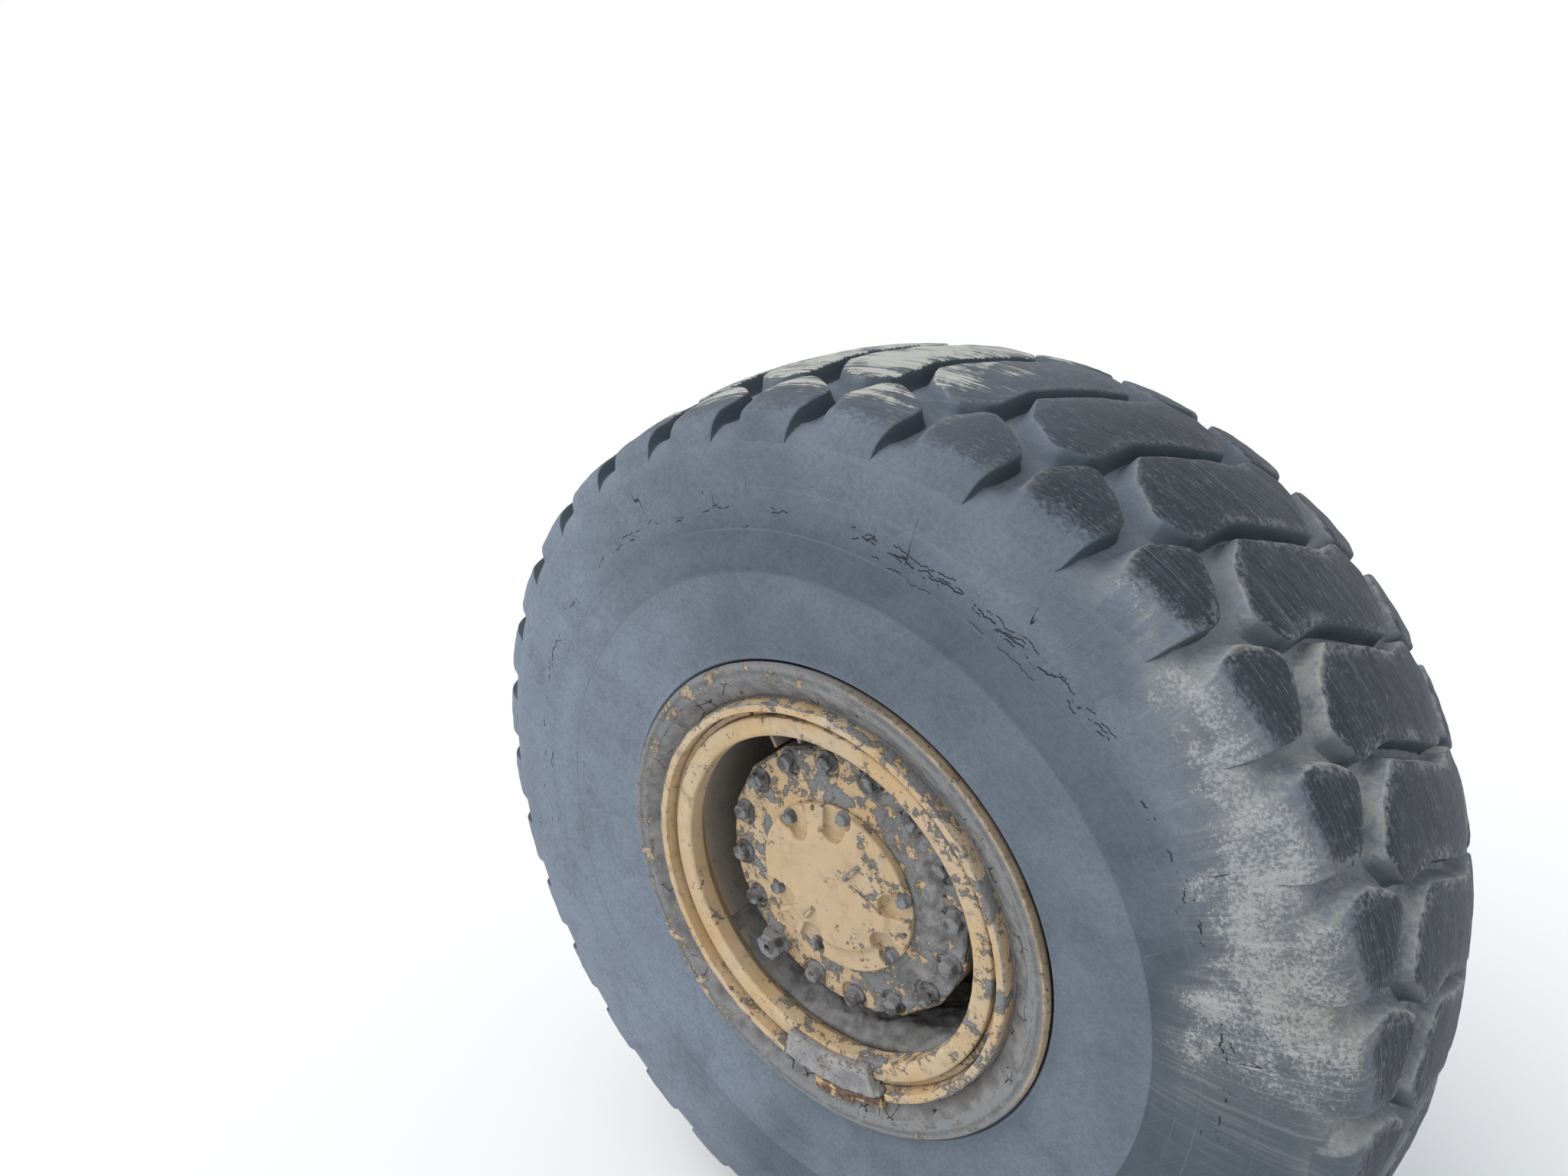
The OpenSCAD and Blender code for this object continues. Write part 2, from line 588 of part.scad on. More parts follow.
module cover_bolts() {
    color([0.50, 0.45, 0.36]) for (a = cover_bolt_angles)
        at_angle(a) facing_out(cover_bolt_circle, pocket_at) bolt(cover_bolt);
}

module stub_axle() {
    color([0.36, 0.36, 0.36]) difference() {
        turned([
            [axle_bore_r, axle_tip_at], [bearing_out_r - 6, axle_tip_at], [bearing_out_r, axle_tip_at + 6],
            [bearing_out_r, bearing_out_at + bearing_w], [bearing_in_r - 8, bearing_in_at - 8],
            [bearing_in_r, bearing_in_at - 4], [bearing_in_r, bearing_in_at + bearing_w + 4],
            [neck_r - 8, hub_back_at + room], [neck_r, from_mount(-mount_t - 20)],
            [neck_r + 12, from_mount(-mount_t)], [shoulder_r, from_mount(-mount_t)],
            [shoulder_r, from_mount(-shoulder_back)], [mount_r, from_mount(-shoulder_back)],
            [mount_r, from_mount(0)], [axle_bore_r, from_mount(0)]
        ]);
        for (i = [0:mount_holes - 1]) at_angle(i * 360 / mount_holes)
            facing_out(mount_circle, from_mount(1)) cylinder(h = hole_depth + 1, r = mount_hole_r, $fn = 32);
        for (i = [0:brake_bolts_n - 1]) at_angle(i * 360 / brake_bolts_n)
            facing_out(brake_bolt_circle, from_mount(0)) cylinder(h = 60, r = brake_bolt[4] + seat_gap, $fn = 24);
    }
}

// Ribbed housing of the oil-cooled disc brake
module brake_housing() {
    back = -mount_t - seat_gap;
    ribs = 5;
    rib_w = 9;
    step = (brake_l - 70) / ribs;
    function rib(i) = let (y = back - 46 - i * step) [
        [brake_r - 10, from_mount(y)], [brake_r, from_mount(y - 2)], [brake_r, from_mount(y - rib_w)],
        [brake_r - 10, from_mount(y - rib_w - 2)]
    ];
    color([0.38, 0.37, 0.35]) difference() {
        turned(concat(
            [[neck_r + 14, from_mount(back)], [brake_r - 16, from_mount(back)], [brake_r - 10, from_mount(back - 6)]],
            [for (i = [0:ribs - 1]) each rib(i)],
            [
                [brake_r - 10, from_mount(back - brake_l + 18)], [brake_r - 34, from_mount(back - brake_l)],
                [neck_r + 14, from_mount(back - brake_l)]
            ]
        ));
        for (i = [0:brake_bolts_n - 1]) at_angle(i * 360 / brake_bolts_n)
            facing_out(brake_bolt_circle, from_mount(back + 1)) cylinder(h = 24, r = brake_bolt[4] + seat_gap, $fn = 24);
    }
}

module brake_bolts() {
    color([0.40, 0.38, 0.34]) for (i = [0:brake_bolts_n - 1]) at_angle(i * 360 / brake_bolts_n)
        translate([brake_bolt_circle, -shoulder_back, 0]) rotate([-90, 0, 0]) bolt(brake_bolt);
}

// Oil and bleed fittings on the brake housing's upper back
module brake_ports() {
    color([0.46, 0.42, 0.34]) for (a = [62, 90, 118]) at_angle(a)
        translate([brake_r - 10 + seat_gap, -mount_t - 24, 0]) rotate([0, 90, 0]) {
            cylinder(h = 10, r = 15 / cos(30), $fn = 6);
            cylinder(h = 24, r = 9, $fn = 24);
        }
}

tyre();
rim_base();
wheel_disc();
back_flange();
front_flange();
bead_seat_band();
lock_ring();
driver();
valve_guard();
valve();
hub();
planet_housing();
wheel_nuts();
hub_bolts();
oil_plug();
cover();
cover_bolts();
stub_axle();
brake_housing();
brake_bolts();
brake_ports();
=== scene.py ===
# Dump truck wheel end: worn lugged tyre, five-piece rim, planetary hub, stub axle and brake housing.
# Millimetres and degrees in the tables, metres in the meshes. Angles run from the truck's front (+X) upwards.
import math

import bpy
import bmesh
import numpy as np
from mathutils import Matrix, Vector, noise


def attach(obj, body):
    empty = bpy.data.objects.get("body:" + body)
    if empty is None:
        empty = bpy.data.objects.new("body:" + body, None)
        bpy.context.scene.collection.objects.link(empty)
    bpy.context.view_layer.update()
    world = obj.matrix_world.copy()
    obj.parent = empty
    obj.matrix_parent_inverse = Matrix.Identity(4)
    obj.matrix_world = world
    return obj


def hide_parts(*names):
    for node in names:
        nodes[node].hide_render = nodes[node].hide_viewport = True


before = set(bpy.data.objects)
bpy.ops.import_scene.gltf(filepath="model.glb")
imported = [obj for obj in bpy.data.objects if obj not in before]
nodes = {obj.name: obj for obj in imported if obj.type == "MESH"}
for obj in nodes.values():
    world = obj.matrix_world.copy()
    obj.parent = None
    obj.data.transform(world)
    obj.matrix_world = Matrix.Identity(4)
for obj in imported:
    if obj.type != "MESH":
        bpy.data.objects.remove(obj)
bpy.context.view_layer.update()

# The rim's outboard lip, the tyre's middle inboard of it, the rim's width and the ground
wheel = {"lipY": -607.3, "midAt": 283.65, "rimWidth": 567.3, "floorZ": -776.7}


# Meshes

def pointAt(a, radius, depth):
    # A point of the wheel in metres: angle in radians, radius and depth behind the lip in mm
    return (radius * math.cos(a) / 1000, (wheel["lipY"] + depth) / 1000, radius * math.sin(a) / 1000)


def edited(mesh, *changes):
    bm = bmesh.new()
    bm.from_mesh(mesh)
    for change in changes:
        change(bm)
    bm.to_mesh(mesh)
    bm.free()
    return mesh


def merge(bm):
    bmesh.ops.remove_doubles(bm, verts=bm.verts, dist=1e-6)


def dropSlivers(bm):
    bmesh.ops.dissolve_degenerate(bm, dist=1e-6, edges=bm.edges)


def turnOut(bm):
    if all(len(edge.link_faces) == 2 for edge in bm.edges) and bm.calc_volume(signed=True) < 0:
        bmesh.ops.reverse_faces(bm, faces=bm.faces)


def newMesh(name, points, faces):
    mesh = bpy.data.meshes.new(name)
    mesh.from_pydata([tuple(p) for p in points], [], faces)
    return mesh


def linked(name, mesh, sharp):
    # Smooth shading with edges kept sharp beyond an angle in degrees; 0 keeps none
    mesh.shade_smooth()
    if sharp:
        mesh.set_sharp_from_angle(angle=math.radians(sharp))
    piece = bpy.data.objects.new(name, mesh)
    bpy.context.scene.collection.objects.link(piece)
    return piece


def finished(name, mesh, material, sharp=40):
    edited(mesh, merge, dropSlivers, turnOut)
    mesh.materials.clear()
    mesh.materials.append(material)
    return linked(name, mesh, sharp)


def readPoints(mesh, layer="co"):
    values = np.empty(len(mesh.vertices) * 3, np.float32)
    mesh.vertices.foreach_get(layer, values)
    return values.reshape(-1, 3)


def setPoints(mesh, values):
    mesh.vertices.foreach_set("co", values.astype(np.float32).ravel())
    mesh.update()


def ringFaces(count, n, closed=False):
    # Quads between rings of n points each; closed joins the last ring to the first
    faces = []
    for k in range(count if closed else count - 1):
        a, b = k * n, (k + 1) % count * n
        faces += [(a + i, a + (i + 1) % n, b + (i + 1) % n, b + i) for i in range(n)]
    return faces


def rounded(outline, steps=4):
    # Corners given as (radius, depth, fillet) are rounded by their fillet
    result = []
    n = len(outline)
    for i, point in enumerate(outline):
        p = np.array(point[:2], float)
        fillet = point[2] if len(point) > 2 else 0
        if not fillet:
            result.append(p)
            continue
        before = np.array(outline[i - 1][:2], float) - p
        after = np.array(outline[(i + 1) % n][:2], float) - p
        lengthBefore, lengthAfter = np.linalg.norm(before), np.linalg.norm(after)
        before, after = before / lengthBefore, after / lengthAfter
        half = math.acos(np.clip(before @ after, -1, 1)) / 2
        cut = min(fillet / max(math.tan(half), 1e-3), 0.49 * lengthBefore, 0.49 * lengthAfter)
        for k in range(steps + 1):
            t = k / steps
            curve = (1 - t) ** 2 * (p + before * cut) + 2 * t * (1 - t) * p
            result.append(curve + t ** 2 * (p + after * cut))
    return result


def turnedPiece(name, outline, segments, material, shift=None, span=None, sharp=40):
    # A closed outline of (radius, depth, fillet) turned round the axle.
    # shift(angle, radius, depth) gives how far a point moves, in mm
    line = rounded(outline)
    n = len(line)
    start, end = span or (0, 360)
    columns = segments + 1 if span else segments
    points = []
    for c in range(columns):
        a = math.radians(start + (end - start) * c / segments)
        for r, d in line:
            dr, dd = shift(a, r, d) if shift else (0, 0)
            points.append(pointAt(a, r + dr, d + dd))
    faces = ringFaces(columns, n, closed=not span)
    if span:
        faces += [tuple(range(n)), tuple(reversed(range((columns - 1) * n, columns * n)))]
    return finished(name, newMesh(name, points, faces), material, sharp)


def rough(x, y, z, size, octaves):
    # Fractal noise about -1 to 1, with features of a size in mm
    return noise.fractal(Vector((x, y, z)) / size, 1.0, 2.0, octaves)


def roughAt(a, r, d, size, octaves):
    return rough(r * math.cos(a), d, r * math.sin(a), size, octaves)


def castCopy(name, node, voxel, rounds, bumps, bumpSize, material):
    # A cast-looking copy of a CAD node: its edges rounded and its skin slightly uneven
    source = bpy.data.objects.new(name + "Source", edited(nodes[node].data.copy(), merge))
    bpy.context.scene.collection.objects.link(source)
    remesh = source.modifiers.new("remesh", "REMESH")
    remesh.mode = "VOXEL"
    remesh.voxel_size = voxel / 1000
    smooth = source.modifiers.new("smooth", "SMOOTH")
    smooth.factor = 0.5
    smooth.iterations = rounds
    result = evaluatedMesh(source, name)
    bpy.data.objects.remove(source)
    points, normals = readPoints(result), readPoints(result, "normal")
    lift = np.array([rough(*(p * 1000), bumpSize, 3) for p in points]) * bumps / 1000
    setPoints(result, points + normals * lift[:, None])
    return finished(name, result, material, 0)


def evaluatedMesh(source, name):
    depsgraph = bpy.context.evaluated_depsgraph_get()
    mesh = bpy.data.meshes.new_from_object(source.evaluated_get(depsgraph), depsgraph=depsgraph)
    mesh.name = name
    return mesh


# Nodes

class Wire:
    # A node's output, which plain arithmetic turns into more nodes
    def __init__(self, maker, socket):
        self.maker, self.socket = maker, socket

    def maths(self, operation, *values):
        return self.maker.node("ShaderNodeMath", {"operation": operation}, list(values))

    def __add__(self, other): return self.maths("ADD", self, other)
    def __radd__(self, other): return self.maths("ADD", other, self)
    def __sub__(self, other): return self.maths("SUBTRACT", self, other)
    def __rsub__(self, other): return self.maths("SUBTRACT", other, self)
    def __mul__(self, other): return self.maths("MULTIPLY", self, other)
    def __rmul__(self, other): return self.maths("MULTIPLY", other, self)
    def __truediv__(self, other): return self.maths("DIVIDE", self, other)
    def __rtruediv__(self, other): return self.maths("DIVIDE", other, self)
    def __pow__(self, other): return self.maths("POWER", self, other)
    def least(self, other): return self.maths("MINIMUM", self, other)
    def most(self, other): return self.maths("MAXIMUM", self, other)
    def size(self): return self.maths("ABSOLUTE", self)

    def step(self, low, high):
        # Soft step from 0 below low to 1 above high; low above high turns it round
        if low > high:
            return 1 - self.step(high, low)
        return self.maker.node("ShaderNodeMapRange", {"interpolation_type": "SMOOTHSTEP"},
                               {"Value": self, "From Min": low, "From Max": high})

    def inside(self, low, high, soft):
        return self.step(low - soft, low + soft) * self.step(high + soft, high - soft)


class NodeMaker:
    def __init__(self, tree):
        self.tree = tree
        tree.nodes.clear()

    def node(self, kind, settings=None, values=None, output=0):
        node = self.tree.nodes.new(kind)
        for key, value in (settings or {}).items():
            setattr(node, key, value)
        for key, value in values.items() if isinstance(values, dict) else enumerate(values or []):
            socket = node.inputs[key]
            if isinstance(value, Wire):
                self.tree.links.new(value.socket, socket)
            else:
                colour = socket.type == "RGBA" and len(value) == 3
                socket.default_value = (*value, 1) if colour else value
        return Wire(self, node.outputs[output])

    def scaled(self, vector, amount):
        return self.node("ShaderNodeVectorMath", {"operation": "SCALE"}, {0: vector, "Scale": amount})


def ringOfCopies(inputs):
    # A geometry tree that copies a seed round the axle and wears the result; inputs of (name, type, value)
    tree = bpy.data.node_groups.new("ringOfCopies", "GeometryNodeTree")
    for way in ("INPUT", "OUTPUT"):
        tree.interface.new_socket("Geometry", in_out=way, socket_type="NodeSocketGeometry")
    sockets = {}
    for label, kind, value in inputs:
        item = tree.interface.new_socket(label, in_out="INPUT", socket_type="NodeSocket" + kind)
        sockets[label] = (item.identifier, value)
    g = NodeMaker(tree)
    given = {socket.name: Wire(g, socket) for socket in tree.nodes.new("NodeGroupInput").outputs}
    index = g.node("GeometryNodeInputIndex")
    turn = index * (math.tau / given["Count"]) + given["Start"]
    ways = g.node("ShaderNodeCombineXYZ", values={
        "X": turn.maths("COSINE", turn), "Z": turn.maths("SINE", turn)})
    points = g.node("GeometryNodePoints", values={
        "Count": given["Count"], "Position": g.scaled(ways, given["Circle"]), "Radius": 0.01})
    chance = g.node("FunctionNodeRandomValue", {"data_type": "FLOAT"}, {"Seed": given["Seed"]}, output=1)
    turning = g.node("ShaderNodeCombineXYZ", values={"Y": chance * given["Loose"] - turn})
    kept = g.node("FunctionNodeCompare", {"data_type": "INT", "operation": "NOT_EQUAL"},
                  {2: index, 3: given["Skip"]})
    copies = g.node("GeometryNodeInstanceOnPoints", values={
        "Points": points, "Selection": kept, "Instance": given["Geometry"], "Rotation": turning})
    real = g.node("GeometryNodeRealizeInstances", values={"Geometry": copies})
    grain = g.node("ShaderNodeTexNoise", output="Color", values={
        "Scale": given["Grain"], "Detail": 2.0, "Roughness": 0.6})
    centred = g.node("ShaderNodeVectorMath", {"operation": "SUBTRACT"}, [grain, (0.5, 0.5, 0.5)])
    worn = g.node("GeometryNodeSetPosition", values={
        "Geometry": real, "Offset": g.scaled(centred, given["Wear"])})
    dressed = g.node("GeometryNodeSetMaterial", values={"Geometry": worn, "Material": given["Material"]})
    tree.links.new(dressed.socket, tree.nodes.new("NodeGroupOutput").inputs[0])
    return tree, sockets


copiesTree, copiesSockets = ringOfCopies([
    ("Count", "Int", 1), ("Start", "Float", 0.0), ("Circle", "Float", 0.0), ("Skip", "Int", -1),
    ("Seed", "Int", 4), ("Loose", "Float", 0.0), ("Wear", "Float", 0.0), ("Grain", "Float", 40.0),
    ("Material", "Material", None)])


def growPiece(name, seed, sharp=40, **values):
    # Runs the tree on a seed mesh and keeps the result as one plain mesh
    source = bpy.data.objects.new(name + "Seed", seed)
    bpy.context.scene.collection.objects.link(source)
    modifier = source.modifiers.new(name, "NODES")
    modifier.node_group = copiesTree
    for label, (identifier, value) in copiesSockets.items():
        modifier[identifier] = values.get(label, value)
    source.update_tag()
    mesh = evaluatedMesh(source, name)
    bpy.data.objects.remove(source)
    return linked(name, mesh, sharp)


# Finishes

class Finish(NodeMaker):
    # One material with its wheel coordinates: radius and depth in mm, turn in radians from the top forwards,
    # and ahead and up from -1 to 1
    def __init__(self, name):
        self.material = bpy.data.materials.new(name)
        self.material.use_nodes = True
        super().__init__(self.material.node_tree)
        self.place = self.node("ShaderNodeTexCoord", output="Object")
        self.x, self.y, self.z = [self.node("ShaderNodeSeparateXYZ", values=[self.place], output=k)
                                  for k in range(3)]
        self.radius = ((self.x * self.x + self.z * self.z) ** 0.5) * 1000
        self.depth = self.y * 1000 - wheel["lipY"]
        self.turn = self.x.maths("ARCTAN2", self.x, self.z)
        self.ahead = self.x * 1000 / self.radius
        self.up = self.z * 1000 / self.radius

    def grain(self, size, detail=3, roughness=0.55, place=None, distortion=0.0):
        # Noise about 0 to 1 with features of a size in mm
        return self.node("ShaderNodeTexNoise", values={
            "Vector": place or self.place, "Scale": 1000 / size, "Detail": detail,
            "Roughness": roughness, "Distortion": distortion})

    def pebbles(self, size, feature="F1"):
        return self.node("ShaderNodeTexVoronoi", {"feature": feature}, output="Distance",
                         values={"Vector": self.place, "Scale": 1000 / size})

    def drawn(self, aroundSize, acrossSize, depthSize, shift, detail):
        # Noise drawn out round the wheel, with feature sizes in mm at a radius of 600
        spread = 600 / aroundSize
        place = self.node("ShaderNodeCombineXYZ", values=[
            self.ahead * spread, self.up * spread,
            self.radius / acrossSize + self.depth / depthSize + shift])
        return self.grain(1000, detail, place=place)

    def mix(self, factor, first, second):
        return self.node("ShaderNodeMix", {"data_type": "RGBA"}, {0: factor, 6: first, 7: second}, output=2)

    def scores(self, degrees, length, width, low):
        # Straight faint scratches in one direction across the wheel's face
        a = math.radians(degrees)
        along = (self.x * math.cos(a) + self.z * math.sin(a)) * (1000 / length)
        across = (self.z * math.cos(a) - self.x * math.sin(a)) * (1000 / width)
        place = self.node("ShaderNodeCombineXYZ", values=[along, across, self.depth / 400])
        return self.grain(1000, 2, place=place).step(low, low + 0.04)

    def bump(self, height, distance):
        return self.node("ShaderNodeBump", values={"Height": height, "Distance": distance, "Strength": 1.0})

    def facing(self):
        # How much a face looks up
        normal = self.node("ShaderNodeNewGeometry", output="Normal")
        return self.node("ShaderNodeSeparateXYZ", values=[normal], output=2)

    def out(self, **inputs):
        shader = self.node("ShaderNodeBsdfPrincipled", values={
            key.replace("_", " "): value for key, value in inputs.items()})
        surface = self.tree.nodes.new("ShaderNodeOutputMaterial").inputs["Surface"]
        self.tree.links.new(shader.socket, surface)
        return self.material


colours = {
    "rubber": (0.118, 0.142, 0.174), "rubberPale": (0.210, 0.246, 0.302), "rubberDark": (0.030, 0.042, 0.052),
    "tread": (0.015, 0.019, 0.027), "treadPale": (0.054, 0.062, 0.080), "crack": (0.012, 0.013, 0.016),
    "film": (0.195, 0.200, 0.208), "dust": (0.330, 0.325, 0.310), "dustPale": (0.340, 0.345, 0.345),
    "cream": (0.470, 0.480, 0.430), "block": (0.175, 0.172, 0.178), "blockPale": (0.320, 0.315, 0.315),
    "paint": (0.520, 0.350, 0.170), "paintPale": (0.590, 0.450, 0.290), "paintCover": (0.500, 0.355, 0.205),
    "paintDull": (0.330, 0.245, 0.150), "rust": (0.150, 0.066, 0.028), "rustDarkAndShade": (0.045, 0.026, 0.017),
    "steel": (0.330, 0.320, 0.315), "steelDark": (0.110, 0.108, 0.110), "cake": (0.140, 0.141, 0.146),
    "cakePale": (0.260, 0.260, 0.262), "split": (0.020, 0.017, 0.014),
}


def rubberFinish(name, isTread):
    f = Finish(name)
    c = colours
    cloud = f.grain(150, 4)
    fine = f.grain(7, 4, 0.68)
    small = f.grain(2.4, 2, 0.6)
    ragged = f.grain(60, 5, 0.62, distortion=0.6)
    lift = f.node("ShaderNodeAttribute", {"attribute_name": "lift"}, output=2)
    outboard = f.depth.step(60, 0)
    # Painted light and shade: paler towards the back, painted shade outside the inner ring and low at the
    # front
    back = f.ahead.step(-0.10, -0.84)
    low = (f.up + (ragged - 0.5) * 0.4).step(0.62, 0.07) * f.ahead.step(-0.4, 0.4)
    base = f.mix((cloud.step(0.3, 0.7) * 0.42 + back * 0.7).least(1), c["rubber"], c["rubberPale"])
    ringShade = (f.radius.step(640, 577) * (1 - back) * 0.36).most(low * 0.62)
    base = f.mix(f.radius.step(517, 520) * outboard * ringShade, base, c["rubberDark"])
    texture = (fine * 0.6 + small * 0.4).step(0.40, 0.62)
    patches = f.grain(90, 5, 0.66, distortion=0.8).step(0.50, 0.66)
    base = f.mix(texture * 0.24 + patches * 0.14, base, c["rubberDark"])
    scratches = f.drawn(900, 7, 11, 3.0, 3).step(0.60, 0.72)
    scored = f.scores(38, 420, 1.8, 0.66).most(f.scores(-24, 300, 1.5, 0.67)) * outboard
    marked = (scratches * 0.2).most(scored * 0.45).most(small.step(0.66, 0.74) * 0.4)
    base = f.mix(marked, base, c["rubberPale"])
    # Dried splash low at the front: white specks close together on the shoulder, brushed streaks
    # nearer the rim
    reach = f.radius + (ragged - 0.5) * 120 + f.turn * 200
    started = (f.turn + f.radius * 0.0022 + (ragged - 0.5) * 0.25).step(2.27, 2.36)
    density = reach.step(790, 905) * started * f.turn.step(1.80, 1.45) * outboard
    specks = (f.grain(4.5, 4, 0.75) * 0.6 + ragged * 0.4 + density * 0.30).step(0.68, 0.84)
    streaks = f.drawn(6, 150, 60, 1.0, 4).step(0.48, 0.66) * started * reach.step(800, 900)
    streaks = streaks * f.turn.step(1.9, 1.5) * outboard
    dusty = (specks * density.step(0, 0.2) * 0.72 + streaks * 0.28 + density * 0.15).least(1)
    frontLow = f.turn.step(0.60, 0.95) * f.up.step(-0.5, 0.1)
    height = fine * 0.14 + small * 0.1 + scratches * 0.1 - scored * 0.15
    crest = 0.0
    if isTread:
        ahead = f.node("ShaderNodeAttribute", {"attribute_name": "ahead"}, output=2)
        worn = f.radius + (ragged - 0.5) * 20 + (fine - 0.5) * 26 - frontLow * outboard * 11
        shoulder = worn.step(731, 743)
        crest = (lift + (fine - 0.5) * 0.10).step(0.90, 0.99) * shoulder
        wall = lift.step(1.0, 0.9)
        crown = f.turn.size().step(0.60, 0.28)
        deep = f.drawn(260, 900, 3, 5.0, 2).step(0.62, 0.69)
        pale = f.drawn(70, 1000, 3.2, 1.0, 3).step(0.40, 0.70) * 0.62
        dark = f.mix(pale, c["tread"], c["treadPale"])
        dark = f.mix(f.drawn(9, 1000, 2.6, 0.0, 4).step(0.56, 0.70) * 0.4, dark, c["rubberPale"])
        dark = f.mix(deep * 0.4, dark, c["rubberPale"])
        dark = f.mix(crown * 0.45, dark, c["rubber"])
        near = lift.step(1.55, 1.0) * (fine * 0.6 + ragged * 0.4).step(0.48, 0.58)
        dark = f.mix(near * (0.35 + frontLow * 0.3), dark, c["film"])
        base = f.mix(crest * 0.95, base, dark)
        # Painted shade: the steep walls facing back round the wheel are darkened to dark rubber
        base = f.mix(wall * ahead.step(-0.1, -0.6) * 0.8, base, c["rubberDark"])
        edge = lift.inside(0.88, 1.0, 0.05) * shoulder * ahead.step(0.1, 0.6)
        base = f.mix(edge * f.grain(16, 3).step(0.42, 0.6) * (0.25 + frontLow * 0.4), base, c["dust"])
        film = wall * (fine * 0.5 + ragged * 0.5).step(0.36, 0.62) * (0.16 + frontLow * 0.72)
        film = film * (1 - ahead.step(0.1, -0.5) * 0.85)
        # Pale mud scraped along the crown
        top = (f.turn + 0.05).size().step(0.46, 0.22) * f.depth.step(30, 100) * lift.step(0.8, 0.98)
        scraped = (f.drawn(110, 400, 3.5, 2.0, 4) * 0.5 + ragged * 0.5 + top * 0.22).step(0.63, 0.70)
        scraped = scraped * top.step(0, 0.3)
        dusty = dusty * (1 - crest * 0.75) * (1 - wall * ahead.step(-0.05, -0.45) * 0.8)
        height = height - deep * 0.5 * crest + f.pebbles(5.5).step(0.25, 0.0) * 0.15 * crest + scraped * 0.6
    else:
        film = (fine * 0.5 + ragged * 0.5).step(0.4, 0.62) * 0.3 * (0.4 + frontLow)
        film = lift.step(0.9, 0.1) * (0.12 + film)
        ringLine = f.radius.inside(518, 519.4, 0.8) + f.radius.inside(577, 578.5, 1) * 0.6
        ringLine = ringLine + f.radius.inside(384, 387, 1.5)
        base = f.mix(ringLine * 0.4, base, c["rubberPale"])
        height = height + ringLine * 0.5
    base = f.mix(film, base, f.mix(frontLow, c["film"], c["dust"]))
    splash = f.mix(f.turn.step(1.15, 1.45) * cloud.step(0.4, 0.6), c["dustPale"], c["dust"])
    base = f.mix(dusty, base, splash)
    height = height + dusty * 0.5
    if isTread:
        base = f.mix(scraped, base, f.mix(fine, c["dust"], c["cream"]))
    else:
        # Weather cracks: wavy broken lines round the shoulder, closest together high at the front
        strong = f.turn.inside(0.28, 0.80, 0.12) * 0.10
        wave = f.drawn(70, 4000, 4000, 2.0, 2) - 0.5
        across = (f.drawn(60, 900, 900, 31.0, 3) - 0.5).size().step(0.004, 0.001)
        cracks = across * f.radius.inside(596, 660, 12) * f.grain(90, 3).step(0.58, 0.62)
        for at, width, seed, least in ((598, 1.0, 3.0, 0.60), (603, 1.3, 5.0, 0.57), (607, 1.0, 7.0, 0.58),
                                       (613, 0.9, 9.0, 0.61), (583, 0.8, 11.0, 0.63)):
            wander = f.radius - at - wave * 26 - (f.drawn(15, 4000, 4000, seed, 4) - 0.5) * 17
            broken = (f.drawn(34, 4000, 4000, seed + 20, 4) + strong).step(least, least + 0.03)
            cracks = cracks.most(wander.size().step(width, width * 0.3) * broken)
        cracks = cracks * f.turn.step(-1.75, -1.45) * f.turn.step(1.85, 1.6) * outboard
        base = f.mix(cracks * 0.9, base, c["crack"])
        height = height - cracks * 1.5
    roughness = 0.64 + fine * 0.16 + dusty * 0.1 - crest * 0.12
    return f.out(Specular_IOR_Level=0.22, Base_Color=base, Roughness=roughness, Normal=f.bump(height, 0.0022))


